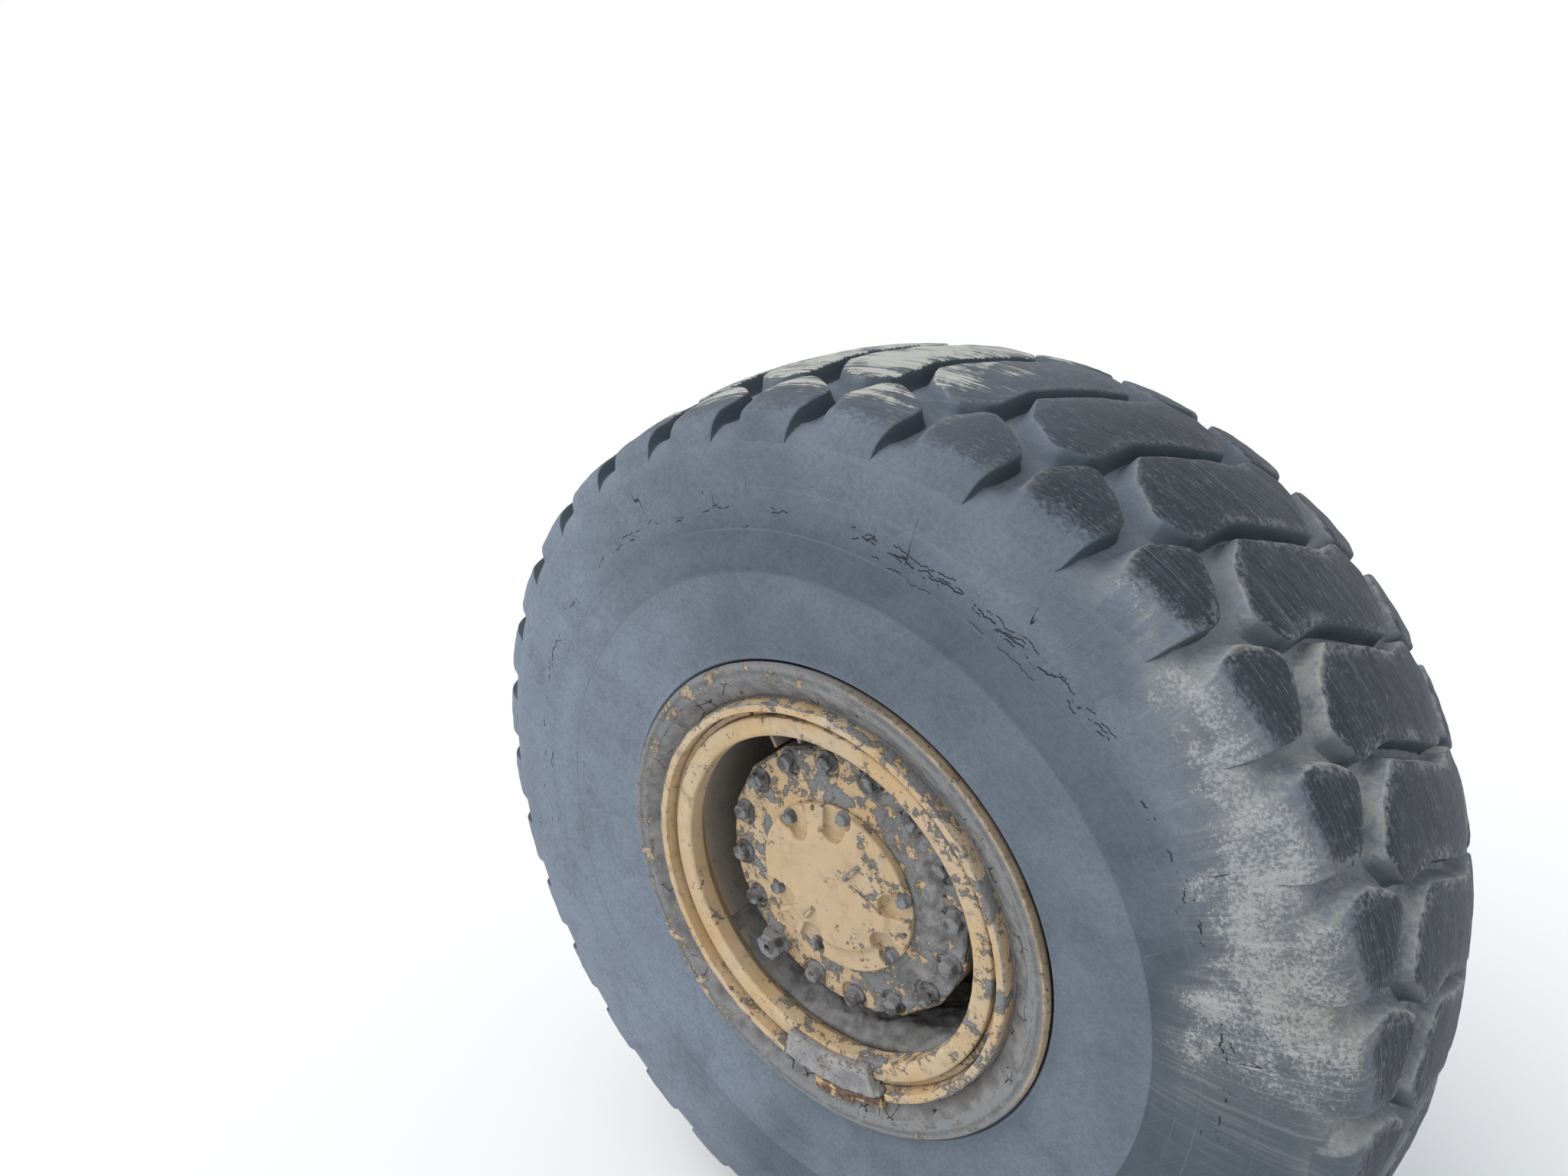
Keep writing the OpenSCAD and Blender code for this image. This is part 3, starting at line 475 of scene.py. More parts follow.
def paintFinish(name, paint, dirt, chips, rust, dust=0.3, pale=1.0, deep=0, worn=None, clean=None,
                marks=None):
    # Chipped paint with rust in the chips, a film of dust and caked dirt, thick beyond the depth called deep.
    # worn(f) gives a mask of rubbed bare metal, clean(f) one of less dirt, marks(f) one of scrapes, holes
    # and, on the flange, painted shade
    f = Finish(name)
    c = colours
    cloud, fine, ragged = f.grain(80, 4), f.grain(7, 4, 0.68), f.grain(36, 7, 0.72)
    base = f.mix(cloud.step(0.25, 0.75) * pale, c[paint], c["paintPale"])
    base = f.mix(f.grain(26, 5, 0.7).step(0.46, 0.70) * 0.5, base, c["paintDull"])
    chipped = (f.grain(10, 5, 0.7) * 0.75 + ragged * 0.25).step(0.68 - 0.15 * chips, 0.71 - 0.15 * chips)
    rusted = (f.grain(34, 5, 0.65) * 0.8 + cloud * 0.2).step(0.68 - 0.2 * rust, 0.76 - 0.2 * rust)
    bare = f.mix(f.grain(6, 4).step(0.35, 0.65), c["rustDarkAndShade"], c["rust"])
    base = f.mix(rusted * 0.7, base, f.mix(fine, c["rust"], c["paintDull"]))
    base = f.mix(chipped, base, bare)
    metal = 0.0
    if worn:
        rubbed = worn(f)
        base = f.mix(rubbed, base, f.mix(f.grain(5, 4).step(0.3, 0.7), c["steelDark"], c["steel"]))
        metal = rubbed * 0.6
    bared = clean(f) if clean else 0.0
    film = (ragged * 0.4 + cloud * 0.6).step(0.32, 0.66) * (0.75 + f.ahead * 0.35) * dust * (1 - bared)
    base = f.mix(film, base, c["cakePale"])
    lumps = ragged * 0.8 + cloud * 0.2
    amount = lumps + f.facing() * 0.06 + f.ahead * 0.035
    caked = amount.step(0.675 - 0.3 * dirt, 0.725 - 0.3 * dirt)
    crumbs = fine.step(0.60, 0.68) * amount.step(0.60 - 0.3 * dirt, 0.66 - 0.3 * dirt)
    if clean:
        caked = caked * (1 - bared * 0.8)
    if deep:
        caked = caked.most(f.depth.step(deep, deep + 40) * (0.55 + lumps * 0.5)).least(1)
    caked = caked.most(crumbs * 0.8)
    base = f.mix(caked, base, f.mix(f.grain(5, 4), c["cake"], c["cakePale"]))
    height = fine * 0.2 + caked * (0.7 + lumps * 1.2) - chipped * 0.3 - rusted * 0.1 * fine
    # Scrapes, holes and the flange edge's painted shade darken the paint to rust colour
    if marks:
        dark = marks(f)
        base = f.mix(dark * 0.9, base, c["rustDarkAndShade"])
        height = height - dark
    roughness = 0.5 + fine * 0.2 + caked * 0.3 + chipped * 0.15
    return f.out(Base_Color=base, Roughness=roughness, Metallic=metal, Normal=f.bump(height, 0.0018))


def cakeFinish(name, cracked):
    f = Finish(name)
    c = colours
    fine, lumps = f.grain(4, 5, 0.7), f.grain(24, 4, 0.6)
    base = f.mix(lumps.step(0.3, 0.7), c["cake"], c["cakePale"])
    base = f.mix(fine.step(0.5, 0.7) * 0.5, base, c["paintDull"])
    splits = f.pebbles(30, "DISTANCE_TO_EDGE").step(0.03, 0.0) * f.grain(60, 3).step(0.56, 0.62) * cracked
    base = f.mix(splits, base, c["split"])
    height = fine * 0.5 + lumps * 0.8 - splits * 1.2
    return f.out(Specular_IOR_Level=0.2, Base_Color=base, Roughness=0.86 + fine * 0.1,
                 Normal=f.bump(height, 0.003))


def steelFinish(name, rust, dirt):
    f = Finish(name)
    c = colours
    fine, lumps = f.grain(5, 4, 0.65), f.grain(24, 5, 0.62)
    rusted = f.grain(15, 5, 0.66).step(0.62 - 0.25 * rust, 0.7 - 0.25 * rust)
    base = f.mix(rusted, c["steelDark"], f.mix(fine, c["rustDarkAndShade"], c["rust"]))
    caked = (lumps + f.facing() * 0.06).step(0.66 - 0.25 * dirt, 0.78 - 0.25 * dirt)
    base = f.mix(caked, base, f.mix(fine, c["cake"], c["cakePale"]))
    height = fine * 0.25 + caked * 0.9 - rusted * 0.2
    return f.out(Base_Color=base, Metallic=(1 - caked) * (1 - rusted) * 0.7,
                 Roughness=0.48 + fine * 0.2 + caked * 0.3, Normal=f.bump(height, 0.0015))


def blockFinish(name):
    # The driver: its block worn grey, the key below it painted and rusty
    f = Finish(name)
    c = colours
    fine, ragged = f.grain(6, 4, 0.68), f.grain(28, 6, 0.7)
    bare = f.mix(fine.step(0.3, 0.65), c["rustDarkAndShade"], c["rust"])
    face = f.mix(ragged.step(0.35, 0.65), c["block"], c["blockPale"])
    face = f.mix(f.grain(14, 5, 0.7).step(0.55, 0.61) * 0.7, face, bare)
    key = f.mix(ragged.step(0.50, 0.44), bare, c["paint"])
    key = f.mix(fine.step(0.52, 0.62) * 0.6, key, c["cake"])
    edge = f.radius + (ragged - 0.5) * 10
    seam = edge.inside(317, 320, 1.2)
    base = f.mix(seam * 0.8, f.mix(edge.step(316, 320), face, key), c["rustDarkAndShade"])
    return f.out(Base_Color=base, Roughness=0.5 + fine * 0.25,
                 Normal=f.bump(fine * 0.4 + ragged * 0.8 - seam, 0.0025))


def lipWear(f):
    # The flange's crest, rubbed bright by the ground and the loader's spill
    return f.radius.inside(364.5, 371, 2.5) * f.depth.step(6, 3) * f.grain(18, 4).step(0.35, 0.5)


def rollClean(f):
    # Paint and rust still show on the outer roll of the flange towards the front
    return f.radius.step(371, 376) * f.turn.step(0.1, 0.6) * f.turn.step(2.3, 1.8)


def spot(f, x, z, r):
    return (((f.x * 1000 - x) ** 2 + (f.z * 1000 - z) ** 2) ** 0.5).step(r + 0.5, r - 0.5)


def coverMarks(f):
    # A long scrape down to the right and a small hole near the top
    across = (f.x * 1000 - 41) * 0.5 + (f.z * 1000 - 22) * 0.866 + (f.grain(20, 3) - 0.5) * 3
    along = (f.x * 1000 - 41) * 0.866 - (f.z * 1000 - 22) * 0.5
    scrape = (across.size() - along * 0.02).step(1.9, 0.9) * along.inside(-2, 53, 1.5).most(0)
    return scrape * 0.7 + spot(f, -28, 130, 3.6)


def housingMarks(f):
    return spot(f, 188, 42, 3.6)


def rollShade(f):
    # The flange's outermost edge high at the front, darkened in rust colour: partly rust, partly painted
    # shade
    edge = f.radius + (f.grain(22, 4, 0.7) - 0.5) * 9
    return edge.step(375, 378.5) * f.turn.step(0.0, 0.4) * f.turn.step(1.9, 1.4) * 0.6


def bandWear(f):
    return f.radius.inside(317.5, 321.5, 1.2) * f.depth.step(3, 0.5) * f.grain(30, 4).step(0.35, 0.5)


treadRubber = rubberFinish("treadRubber", True)
wallRubber = rubberFinish("wallRubber", False)
coverPaint = paintFinish("coverPaint", "paintCover", 0.26, 0.30, 0.20, dust=0.15, pale=0.3, marks=coverMarks)
barPaint = paintFinish("barPaint", "paintCover", 0.66, 0.70, 0.50, dust=0.5, pale=0.3)
housingPaint = paintFinish("housingPaint", "paint", 0.66, 0.35, 0.35, dust=0.5, marks=housingMarks)
rimPaint = paintFinish("rimPaint", "paint", 0.36, 0.45, 0.45, deep=45)
flangePaint = paintFinish("flangePaint", "paintDull", 0.92, 0.70, 0.75, dust=0.5, worn=lipWear,
                          clean=rollClean, marks=rollShade)
bandPaint = paintFinish("bandPaint", "paint", 0.40, 0.55, 0.60, worn=bandWear)
caked = cakeFinish("cakedDirt", 0.0)
crackedCake = cakeFinish("crackedCake", 1.0)
boltSteel = steelFinish("boltSteel", 0.12, 1.0)
blockSteel = blockFinish("blockSteel")
axleIron = steelFinish("axleIron", 0.35, 0.7)
hubIron = paintFinish("hubIron", "paintDull", 0.70, 0.50, 0.70)
print("materials made")


# Tyre

# Blocks are drawn in mm on the crown, unrolled at one radius; the tread stays between low and high, in metres
tyre = {"crown": 778.3, "curve": 809, "unrolled": 780, "pitches": 33, "start": -4.9, "lugShift": 3.5,
        "grooves": 25, "columns": 8, "wear": 0.0045, "segments": 264,
        "low": (-0.7798, -0.6220, -0.7793), "high": (0.7770, -0.0253, 0.7786)}


def crownAt(s):
    return tyre["crown"] - tyre["curve"] + math.sqrt(tyre["curve"] ** 2 - s ** 2)


# The worn outside from the middle of the crown to the sidewall, as distance from the middle and radius
topLine = [(s, crownAt(s)) for s in range(0, 241, 12)] + [
    (252, 738.6), (262, 734.5), (270.5, 728.5), (277.5, 719), (283, 707), (287.5, 693), (291, 677),
    (294, 658), (296.3, 636), (297.8, 612)]
topAt = np.concatenate([[0], np.cumsum(np.hypot(*np.diff(np.array(topLine), axis=0).T))])
topS, topR = np.array(topLine).T
slopeS, slopeR = np.gradient(topS, topAt), np.gradient(topR, topAt)
grooveAt = [0, 226, 250, 268, 285, 300, 312, 330, 500]
grooveDepth = np.array([25, 25, 24, 20.5, 14, 7, 2.5, 0, 0]) / 25 * tyre["grooves"]


def onTread(along, lift, sunk=0.0):
    # Distance along the worn outside in mm from the middle, negative outboard; lift 0 is the groove's floor
    # and 1 the worn top. A lug is sunk into the casing where its groove runs out
    q = np.abs(along)
    s, r = np.interp(q, topAt, topS), np.interp(q, topAt, topR)
    ns, nr = -np.interp(q, topAt, slopeR), np.interp(q, topAt, slopeS)
    drop = np.interp(q, grooveAt, grooveDepth) * (1 - lift) + np.interp(q, [296, 330], [0, 5]) * sunk
    length = np.hypot(ns, nr)
    return (s - ns / length * drop) * np.sign(along + 1e-9), r - nr / length * drop


def evenly(outline, count):
    # The closed outline in even steps from its first point
    line = np.array(outline)
    closed = np.vstack([line, line[:1]])
    at = np.concatenate([[0], np.cumsum(np.hypot(*np.diff(closed, axis=0).T))])
    where = np.linspace(0, at[-1], count, endpoint=False)
    return np.column_stack([np.interp(where, at, closed[:, 0]), np.interp(where, at, closed[:, 1])])


def outwards(line):
    around = np.roll(line, -1, axis=0) - np.roll(line, 1, axis=0)
    area = np.sum(line[:, 0] * np.roll(line[:, 1], -1) - line[:, 1] * np.roll(line[:, 0], -1))
    normal = np.column_stack([around[:, 1], -around[:, 0]]) * (1 if area > 0 else -1)
    return normal / np.maximum(np.linalg.norm(normal, axis=1, keepdims=True), 1e-9)


def block(outline, rings, lean, dome):
    # A block of tread from its outline of (mm round the crown, mm along it) and rings of (mm outwards, lift)
    # from foot to edge. Its top has lifts from 1 at the edge to 2 in the middle
    n = len(outline)
    normal = outwards(outline)
    points, lifts, aheads = [], [], []

    def add(line, lift, rise, marks, towards):
        s, r = onTread(line[:, 1], lift, 1.0)
        for a, si, ri in zip(line[:, 0] / tyre["unrolled"], s, r + rise):
            points.append(pointAt(a, ri, wheel["midAt"] + si))
        lifts.extend(marks)
        aheads.extend(towards)

    for out, lift in rings:
        reach = out * lean if out > 0 else np.full(n, out)
        add(outline + normal * reach[:, None], lift, 0, np.full(n, lift), normal[:, 0])
    faces = ringFaces(len(rings), n) + [tuple(reversed(range(n)))]
    # The worn top as rows from side to side between the two tips
    edge = outline + normal * rings[-1][0]
    base, half, columns = (len(rings) - 1) * n, n // 2, tyre["columns"]
    t = np.arange(1, columns) / columns
    arch = 4 * t * (1 - t)
    rows = [[base]]
    for i in range(1, half):
        start = len(points)
        inner = edge[i] * (1 - t[:, None]) + edge[n - i] * t[:, None]
        add(inner, rings[-1][1], dome * arch, 1 + arch, 0 * arch)
        rows.append([base + i, *range(start, start + columns - 1), base + n - i])
    rows.append([base + half])
    for i in range(half):
        a, b = rows[i], rows[i + 1]
        for k in range(columns):
            # A row of one point at a tip makes triangles
            corners = list(dict.fromkeys(row[min(at, len(row) - 1)]
                                         for row, at in ((a, k), (a, k + 1), (b, k + 1), (b, k))))
            if len(corners) > 2:
                faces.append(tuple(corners))
    return points, lifts, aheads, faces


def mmRound(degrees):
    return math.radians(degrees) * tyre["unrolled"]


# One half of a centre block: (degrees ahead, mm along the tread, fillet); the other half is turned round
halfBlock = [(2.0, -160, 14), (5.6, -129, 18), (7.3, -84, 9), (2.1, 66, 22), (1.7, 140, 14)]
blockCorners = rounded([(side * mmRound(a), side * s, f) for side in (1, -1) for a, s, f in halfBlock], 5)
blockLine = evenly(blockCorners[2:] + blockCorners[:2], 80)
blockRings = [(16, -0.12), (12.5, 0.02), (10, 0.12), (8, 0.27), (6.2, 0.48), (4.3, 0.7), (2.5, 0.88),
              (0.8, 0.97), (-1.0, 1.0), (-4.0, 1.01)]
# Each row of a lug: mm along the tread, degrees to its soft forward side and to its steep side
lugRows = [(163, 1.7, -0.2), (170, 2.2, 0.7), (178, 2.7, 1.7), (188, 3.2, 2.7), (203, 3.9, 4.1),
           (212, 4.1, 4.35), (226, 4.15, 4.25), (250, 3.85, 3.9), (275, 3.3, 3.65), (300, 3.0, 3.4),
           (325, 2.8, 3.1), (345, 2.6, 2.9)]
lugAt, lugAhead, lugBehind = np.array(lugRows).T
lugQ = np.concatenate([np.linspace(163, 170, 3), np.linspace(176, 345, 30)])
lugSideA = np.column_stack([mmRound(1) * np.interp(lugQ, lugAt, lugAhead), lugQ])
lugSideB = np.column_stack([-mmRound(1) * np.interp(lugQ, lugAt, lugBehind), lugQ])
lugLine = np.vstack([lugSideA, lugSideB[::-1]])
lugLine = np.vstack([[(mmRound(0.9), 160)], lugLine[:33], [(0, 350)], lugLine[33:]])
lugLine[:, 1] *= -1
lugRings = [(13, -0.10), (10, 0.02), (7.4, 0.14), (5.4, 0.32), (3.9, 0.52), (2.6, 0.72), (1.4, 0.88),
            (0.0, 0.97), (-2.6, 1.0), (-7, 1.02)]


def treadPitch():
    # One pitch of tread: a centre block, an outboard lug and the same lug turned round inboard
    points, lifts, aheads, faces = [], [], [], []

    def eased(lean):
        return np.convolve(np.concatenate([lean[-2:], lean, lean[:2]]), np.ones(5) / 5, "valid")

    # How far each wall leans out: more on a lug's forward side and at two opposite corners of a block
    ahead, out = lugLine[:, 0] > mmRound(0.6), np.clip((-lugLine[:, 1] - 200) / 50, 0, 1)
    lugLean = eased(np.where(ahead, 1.2 + out * 1.3, 0.5))
    corner = (blockLine[:, 0] * blockLine[:, 1] < 0) & (np.abs(blockLine[:, 1]) > 88)
    blockLean = eased(np.where(corner, 1.35, 0.7))
    lug = lugLine - [mmRound(tyre["lugShift"]), 0]
    for outline, rings, lean, dome in ((blockLine, blockRings, blockLean, 0.8),
                                       (lug, lugRings, lugLean, 1.0), (-lug, lugRings, lugLean, 1.0)):
        start = len(points)
        more = block(outline, rings, lean, dome)
        for whole, part in zip((points, lifts, aheads), more):
            whole += part
        faces += [tuple(start + i for i in face) for face in more[3]]
    mesh = newMesh("treadPitch", points, faces)
    for label, values in (("lift", lifts), ("ahead", aheads)):
        mesh.attributes.new(label, "FLOAT", "POINT").data.foreach_set("value", values)
    return edited(mesh, lambda bm: bmesh.ops.recalc_face_normals(bm, faces=bm.faces))


tread = growPiece("tyreTread", treadPitch(), sharp=0, Count=tyre["pitches"],
                  Start=math.radians(tyre["start"]), Wear=tyre["wear"], Grain=32.0, Material=treadRubber)
setPoints(tread.data, np.clip(readPoints(tread.data), tyre["low"], tyre["high"]))

# The casing from the shoulder to the bead and inside the tyre, as distance from the middle and radius
side = [(298.0, 600), (298.2, 583), (296.9, 579.5), (296.6, 545), (295.6, 528), (294.2, 524), (290.5, 490),
        (284, 450), (277.5, 415), (273, 397), (273.4, 391), (274.6, 388), (274.2, 385), (270, 382.5),
        (262, 378), (250.6, 369.5), (247.3, 355), (247.3, 319), (170, 312)]
inside = [(262, 501), (225, 677), (0, 715), (-225, 677), (-262, 501)]
treadSteps = np.concatenate([
    np.linspace(-352, -232, 17), np.linspace(-212, 212, 21), np.linspace(232, 352, 17)])
grooveFloor = zip(*onTread(treadSteps, 0.0))
otherSide = [(-s, r) for s, r in reversed(side)]
casing = [(r, wheel["midAt"] + s) for s, r in [*grooveFloor, *side, *inside, *otherSide]]


def casingShift(a, r, d):
    if r < 400:
        return 0, 0
    swell = roughAt(a, r, d, 120, 3) * 0.9
    if abs(d - wheel["midAt"]) < 250:
        return swell, 0
    return 0, swell * (-0.6 if d > wheel["midAt"] else 0.6) + (0.4 if d < 0 else -0.4)


casingPiece = turnedPiece("tyreCasing", casing, tyre["segments"], wallRubber, casingShift, sharp=0)
# On the casing lift is 1 up to a radius of 665, fades to 0 at 715 and stays 0 under the tread
lifts = []
for v in casingPiece.data.vertices:
    s = abs(v.co.y * 1000 - wheel["lipY"] - wheel["midAt"])
    r = math.hypot(v.co.x, v.co.z) * 1000
    lifts.append(0.0 if r >= 715 or s < 250 and r > 690 else min(1.0, (715 - r) / 50))
casingPiece.data.attributes.new("lift", "FLOAT", "POINT").data.foreach_set("value", lifts)
print("tyre made", len(tread.data.polygons), len(casingPiece.data.polygons))


# Rim

rim = {"segments": 288, "bandSegments": 268, "ringSegments": 260, "dirtSegments": 720, "pileSegments": 300}
flangeLine = [(318.3, 36, 1), (318.3, 22.4, 1.5), (338, 22, 10), (354, 2.4, 6), (366, 0.2, 5), (378, 0.5, 4),
              (381, 8, 4), (379.4, 15, 4), (372.5, 27.5, 8), (358, 35.6, 6), (340, 36, 3)]
mirrored = [(r, wheel["rimWidth"] - d, fillet) for r, d, fillet in flangeLine]


def metalShift(amount, size):
    def shift(a, r, d):
        lift = roughAt(a, r, d * 2, size, 3) * amount
        return lift, lift
    return shift


frontFlange = turnedPiece("frontFlange", flangeLine, rim["segments"], flangePaint, metalShift(0.45, 40))
backFlange = turnedPiece("backFlange", mirrored, rim["segments"], flangePaint, metalShift(0.45, 40))
bandBack = turnedPiece("beadSeatBand", [
    (307, 21.5), (321, 21.5, 0.5), (318, 22), (317.6, 36), (308.4, 136, 2), (302, 139.8, 1), (296.4, 139.8),
    (296.4, 54.5, 3), (307, 24)], rim["segments"], bandPaint)
bandFront = turnedPiece("beadSeatBandEdge", [
    (307, 0.5, 2), (320.9, 0.5, 2.5), (321, 22), (307, 22)],
    rim["bandSegments"], bandPaint, metalShift(0.35, 22), span=(-70.5, 252.5))
lockRing = turnedPiece("lockRing", [
    (296.2, 22.2, 2), (306.5, 22.2, 2.5), (297, 49.3, 1), (288.9, 49.3, 1), (288.9, 40.4, 1), (296.2, 40.4)],
    rim["ringSegments"], rimPaint, metalShift(0.3, 30), span=(109.8, 468.2))
rimBase = turnedPiece("rimBase", [
    (264, 14.5, 6), (271, 12.2, 4), (295.0, 12.2, 4.5), (295, 39.6), (288.6, 39.6), (288.6, 50.4),
    (296, 50.4), (296, 400.3, 3), (308.4, 425.3, 3), (317.5, 531.3), (318, 545.6), (321, 545.6),
    (321, 567.1, 2), (310, 567.1, 3), (305, 523.3, 6), (301, 440.3, 10), (282, 400.3, 14), (282, 62, 10),
    (264, 42, 8)],
    rim["segments"], rimPaint, metalShift(0.4, 50))


def channelShift(a, r, d):
    if r > 361 or d > 21:
        return 0, 0
    return 0, -1.6 * roughAt(a, r, d, 26, 4) - 2.2 * roughAt(a, 400, 3, 170, 2)


channelDirt = turnedPiece("channelDirt", [
    (325, 21.8), (326, 20), (332, 17.6), (338, 13.8), (344, 9.8), (350, 5.8), (355.5, 2.6), (360, 1.3),
    (362, 2.5), (350, 16), (338, 24)], rim["dirtSegments"], crackedCake, channelShift, sharp=0)


def pileShift(a, r, d):
    # Dirt lies deepest at -88 degrees, nearly straight down, and thins out within 46 degrees to each side
    if r > 282.5:
        return 0, 0
    low = (math.degrees(a) + 88) / 46
    amount = max(0.0, 1 - low * low) ** 1.3 * (26 * min(1, max(0, (d - 44) / 60)) + 5)
    lump = roughAt(a, 282, d, 38, 4)
    return -max(-2.0, amount * (1 + 0.35 * lump) + 2.4 * lump), 0


pileLine = [(281.6, d) for d in np.linspace(62, 296, 60)] + [(284, 296), (284, 62)]
barrelDirt = turnedPiece("barrelDirt", pileLine, rim["pileSegments"], caked, pileShift,
                         span=(-150, -28), sharp=0)
print("rim made")


# Hub face

# Voxels of the castings, depths of the faces, radii of the bolt circles and of the mud, all in mm;
# boltStart is in degrees and emptyStep has no bolt
hubFace = {"coverVoxel": 1.6, "housingVoxel": 2.2, "driverVoxel": 1.5, "coverFace": 47, "housingFace": 72.6,
           "boltCircle": 203, "boltStart": 1.2, "boltSteps": 16, "emptyStep": 10, "coverCircle": 127,
           "mudFrom": 141, "mudTo": 222, "mudSegments": 900, "mudRows": 70}
cover = castCopy("castCover", "cover", hubFace["coverVoxel"], 4, 0.5, 24, coverPaint)
housing = castCopy("planetHousing", "planet_housing", hubFace["housingVoxel"], 2, 0.5, 22, housingPaint)
driver = castCopy("castDriver", "driver", hubFace["driverVoxel"], 14, 1.3, 16, blockSteel)


def castBar(name, start, end, width, height):
    # A low cast bar on the cover between two points (x, z) in mm
    a, b = Vector((start[0], 0, start[1])), Vector((end[0], 0, end[1]))
    along = (b - a).normalized()
    across = Vector((along.z, 0, -along.x))
    foot = wheel["lipY"] + hubFace["coverFace"] + 0.6
    rows, columns = 13, 7
    points = []
    for k in range(rows):
        t = k / (rows - 1)
        narrow = math.sin(math.pi * min(1, max(0.02, min(t, 1 - t) * 6)) / 2)
        for j in range(columns):
            u = -1 + j / 3
            high = height * math.sqrt(max(0, 1 - u * u)) * narrow
            p = a.lerp(b, t) + across * (u * width / 2)
            points.append((p.x / 1000, (foot - high) / 1000, p.z / 1000))
    faces = ringFaces(rows, columns)
    faces += [tuple(reversed(range(columns))), tuple(range((rows - 1) * columns, rows * columns))]
    return finished(name, newMesh(name, points, faces), barPaint, 0)


barUpper = castBar("coverBarUpper", (26, 27), (60, 61), 9, 7)
barLower = castBar("coverBarLower", (-60, -66), (-38, -42), 9, 6.5)


def boltHead(flat, height, washer, t, depth):
    # A head with a washer of radius washer and thickness t, standing at a depth and facing outboard,
    # with rounded corners and a domed chamfer. Rows of (radius, height, share of the hexagon)
    count = 72
    f = flat / 2
    rows = [(washer, 0, 0), (washer, 0.6 * t, 0), (washer - 0.25 * t, 0.92 * t, 0), (washer - 0.7 * t, t, 0),
            (f + 1.3, t + 0.4, 1), (f + 0.3, t + 1.4, 1)]
    for narrow, share, sink, hexed in ((0, 0.4, 0, 1), (0, 0.82, 0, 1), (0.3, 0.93, 0, 1),
                                       (1.4, 0.985, 0, 0.5), (3.5, 1, 0, 0), (6.5, 1, 0.3, 0)):
        rows.append((f - narrow, t + height * share - sink, hexed))
    points = []
    for r, y, hexed in rows:
        for i in range(count):
            a = math.tau * i / count
            corner = 1 / math.cos((a + math.pi / 6) % (math.pi / 3) - math.pi / 6)
            radius = r * {0: 1, 0.5: 0.5 + 0.5 * corner, 1: min(corner, 1.115)}[hexed]
            points.append(pointAt(a, radius, depth - y))
    faces = ringFaces(len(rows), count)
    faces += [tuple(range((len(rows) - 1) * count, len(rows) * count)), tuple(reversed(range(count)))]
    return edited(newMesh("boltHead", points, faces), turnOut)


hubBolts = growPiece(
    "hubBolts", boltHead(24, 14.5, 17.5, 4, 77.5), Count=hubFace["boltSteps"], Skip=hubFace["emptyStep"],
    Start=math.radians(hubFace["boltStart"]), Circle=hubFace["boltCircle"] / 1000, Loose=math.tau,
    Wear=0.0016, Grain=90.0, Material=boltSteel)
head = boltHead(18, 9, 12.5, 3, 62)
coverPoints, coverFaces = [], []
for turn, angle in zip((0.2, 0.9, 0.5, 0.7, 0.1, 0.4), (128.2, 77.5, 8.6, -41.8, -112.7, -162.4)):
    start = len(coverPoints)
    circle, a = hubFace["coverCircle"] / 1000, math.radians(angle)
    for v in head.vertices:
        x = v.co.x * math.cos(turn) - v.co.z * math.sin(turn)
        z = v.co.x * math.sin(turn) + v.co.z * math.cos(turn)
        coverPoints.append((x + circle * math.cos(a), v.co.y, z + circle * math.sin(a)))
    coverFaces += [tuple(start + i for i in p.vertices) for p in head.polygons]
coverBolts = finished("coverBolts", newMesh("coverBolts", coverPoints, coverFaces), boltSteel)


def mudHeight(degrees, r):
    # Caked mud between the hub bolts: thickness over the housing's face in mm, negative where there is none
    a, step = math.radians(degrees), 360 / hubFace["boltSteps"]
    x, z = r * math.cos(a), r * math.sin(a)
    start, circle = hubFace["boltStart"], hubFace["boltCircle"]
    nearest = math.radians(step * round((degrees - start) / step) + start)
    bolt = math.hypot(x - circle * math.cos(nearest), z - circle * math.sin(nearest))
    amount = 2.2 * math.cos(math.radians(degrees - 60)) + 2.6 * math.cos(math.radians(degrees + 50)) - 1.0
    lump = rough(x, 5, z, 30, 4) * 7 + rough(x, 40, z, 9, 3) * 1.6
    clear = min(0.0, (bolt - 27) * 0.35) - max(0.0, (r - 217) * 0.6) - max(0.0, (152 - r) * 0.25)
    return max(-1.5, min(9.0, amount + lump + clear))


mudPoints, thick = [], []
turns, rows = hubFace["mudSegments"], hubFace["mudRows"]
for c in range(turns):
    for r in np.linspace(hubFace["mudFrom"], hubFace["mudTo"], rows):
        thick.append(mudHeight(360 * c / turns, r))
        mudPoints.append(pointAt(math.tau * c / turns, r, hubFace["housingFace"] - thick[-1]))
mudFaces = [quad for quad in ringFaces(turns, rows, closed=True)
            if quad[0] % rows < rows - 1 and max(thick[i] for i in quad) > -1.2]
# A flat back inside the housing and walls along the edges close the mud
back = len(mudPoints)
mudPoints += [(x, (wheel["lipY"] + hubFace["housingFace"] + 3) / 1000, z) for x, y, z in mudPoints]
edges = {(quad[i], quad[(i + 1) % 4]) for quad in mudFaces for i in range(4)}
walls = [(b, a, a + back, b + back) for a, b in sorted(edges) if (b, a) not in edges]
mudFaces += [tuple(i + back for i in reversed(quad)) for quad in mudFaces] + walls
hubMud = finished("hubMud", newMesh("hubMud", mudPoints, mudFaces), caked, 0)
edited(hubMud.data, lambda bm: bmesh.ops.delete(
    bm, geom=[v for v in bm.verts if not v.link_faces], context="VERTS"))
print("hub made")


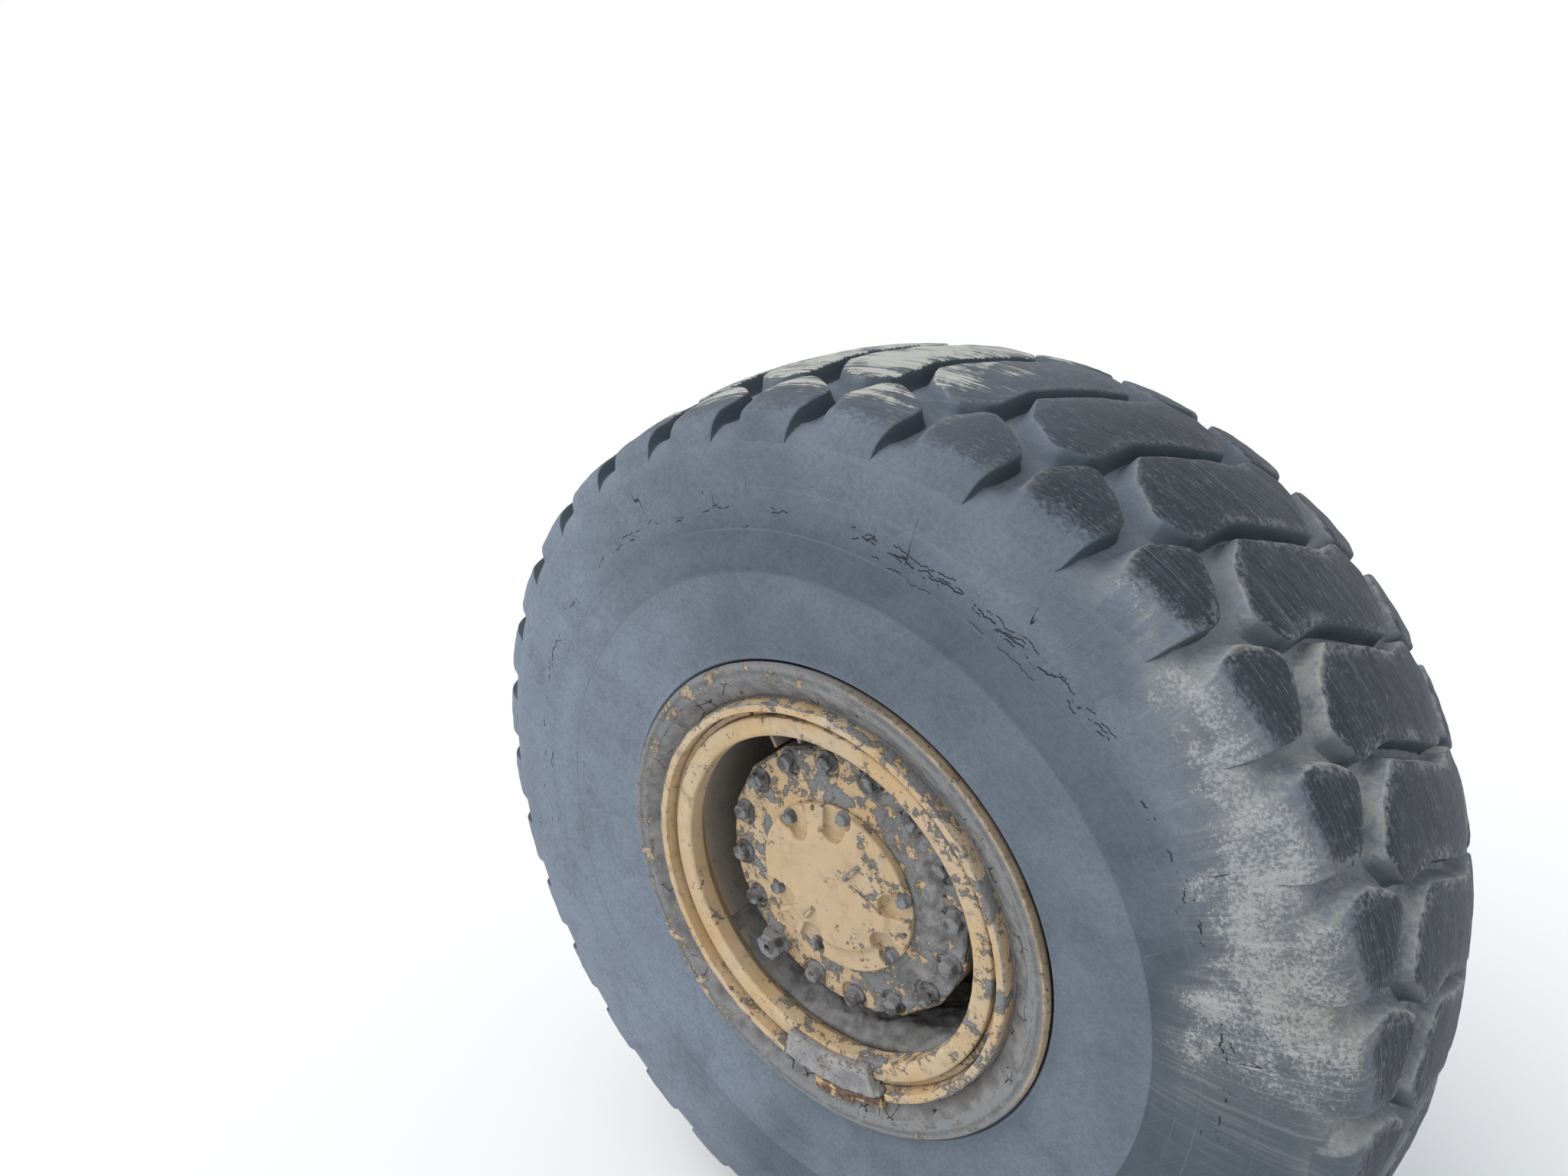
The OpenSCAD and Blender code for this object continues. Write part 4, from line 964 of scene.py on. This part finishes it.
# The CAD nodes that the new meshes stand in for, each with the slot of its finish
standIns = {
    "tyre": ("tyre", [tread, casingPiece]), "front_flange": ("rim_paint", [frontFlange, channelDirt]),
    "back_flange": ("rim_paint", [backFlange]), "bead_seat_band": ("rim_paint", [bandBack, bandFront]),
    "lock_ring": ("rim_paint", [lockRing]), "rim_base": ("rim_paint", [rimBase, barrelDirt]),
    "cover": ("hub_paint", [cover, barUpper, barLower]), "planet_housing": ("hub_paint", [housing, hubMud]),
    "driver": ("bare_steel", [driver]), "hub_bolts": ("bare_steel", [hubBolts]),
    "cover_bolts": ("bare_steel", [coverBolts])}
for node, (slotName, pieces) in standIns.items():
    for piece in pieces:
        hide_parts(node)
        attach(piece, "wheel")

# The rest keeps its CAD meshes with these finishes
finishes = {
    "wheel_disc": hubIron, "valve_guard": rimPaint, "valve": boltSteel, "hub": hubIron,
    "wheel_nuts": boltSteel, "oil_plug": boltSteel, "stub_axle": axleIron, "brake_housing": axleIron,
    "brake_bolts": boltSteel, "brake_ports": boltSteel}
for name, material in finishes.items():
    for place in nodes[name].material_slots:
        place.material = material
print("pieces placed")


# Stage, lights and camera

studio = {"floorSize": 60, "floor": (0.88, 0.88, 0.88), "sky": (0.93, 0.965, 1.0), "skyStrength": 0.85,
          "sun": 1.5, "sunSoftness": 50, "sunWay": (0.45, 0.75, -1.15)}
bpy.ops.mesh.primitive_plane_add(size=studio["floorSize"], location=(0, 0, wheel["floorZ"] / 1000))
floor = bpy.context.object
floor.name = "floor"
floorFinish = Finish("floor")
floor.data.materials.append(floorFinish.out(Base_Color=studio["floor"], Roughness=0.9))

world = bpy.data.worlds.new("studio")
bpy.context.scene.world = world
world.use_nodes = True
# The camera, mirrors and glass see plain white; everything else is lit by the sky
sky = NodeMaker(world.node_tree)
seen, glossy, through = [sky.node("ShaderNodeLightPath", output=ray) for ray in (
    "Is Camera Ray", "Is Glossy Ray", "Is Transmission Ray")]
plain = sky.node("ShaderNodeMath", {"operation": "ADD", "use_clamp": True}, [seen + glossy, through])
lit, white = [sky.node("ShaderNodeBackground", values={"Color": colour, "Strength": strength})
              for colour, strength in ((studio["sky"], studio["skyStrength"]), ((1, 1, 1), 1))]
both = sky.node("ShaderNodeMixShader", values=[plain, lit, white])
sky.tree.links.new(both.socket, sky.tree.nodes.new("ShaderNodeOutputWorld").inputs[0])

light = bpy.data.lights.new("sun", "SUN")
light.energy, light.angle = studio["sun"], math.radians(studio["sunSoftness"])
lamp = bpy.data.objects.new("sun", light)
lamp.rotation_euler = Vector(studio["sunWay"]).to_track_quat("-Z", "Y").to_euler()
bpy.context.scene.collection.objects.link(lamp)

lens = {"place": (0.9343, -1.6278, 0.9100), "ahead": (-0.6413, 0.7113, -0.2879),
        "right": (0.7592, 0.6425, -0.1039), "length": 24.61, "nearest": 0.05}
camera = bpy.data.cameras.new("camera")
camera.sensor_width, camera.lens, camera.clip_start = 36, lens["length"], lens["nearest"]
eye = bpy.data.objects.new("camera", camera)
bpy.context.scene.collection.objects.link(eye)
ahead = Vector(lens["ahead"]).normalized()
right = (Vector(lens["right"]) - ahead * Vector(lens["right"]).dot(ahead)).normalized()
up = right.cross(ahead)
turn = eye.matrix_world.to_3x3()
for row in range(3):
    turn[row][0], turn[row][1], turn[row][2] = right[row], up[row], -ahead[row]
eye.matrix_world = turn.to_4x4()
eye.location = lens["place"]
bpy.context.scene.camera = eye
bpy.context.scene.view_settings.view_transform = "Standard"
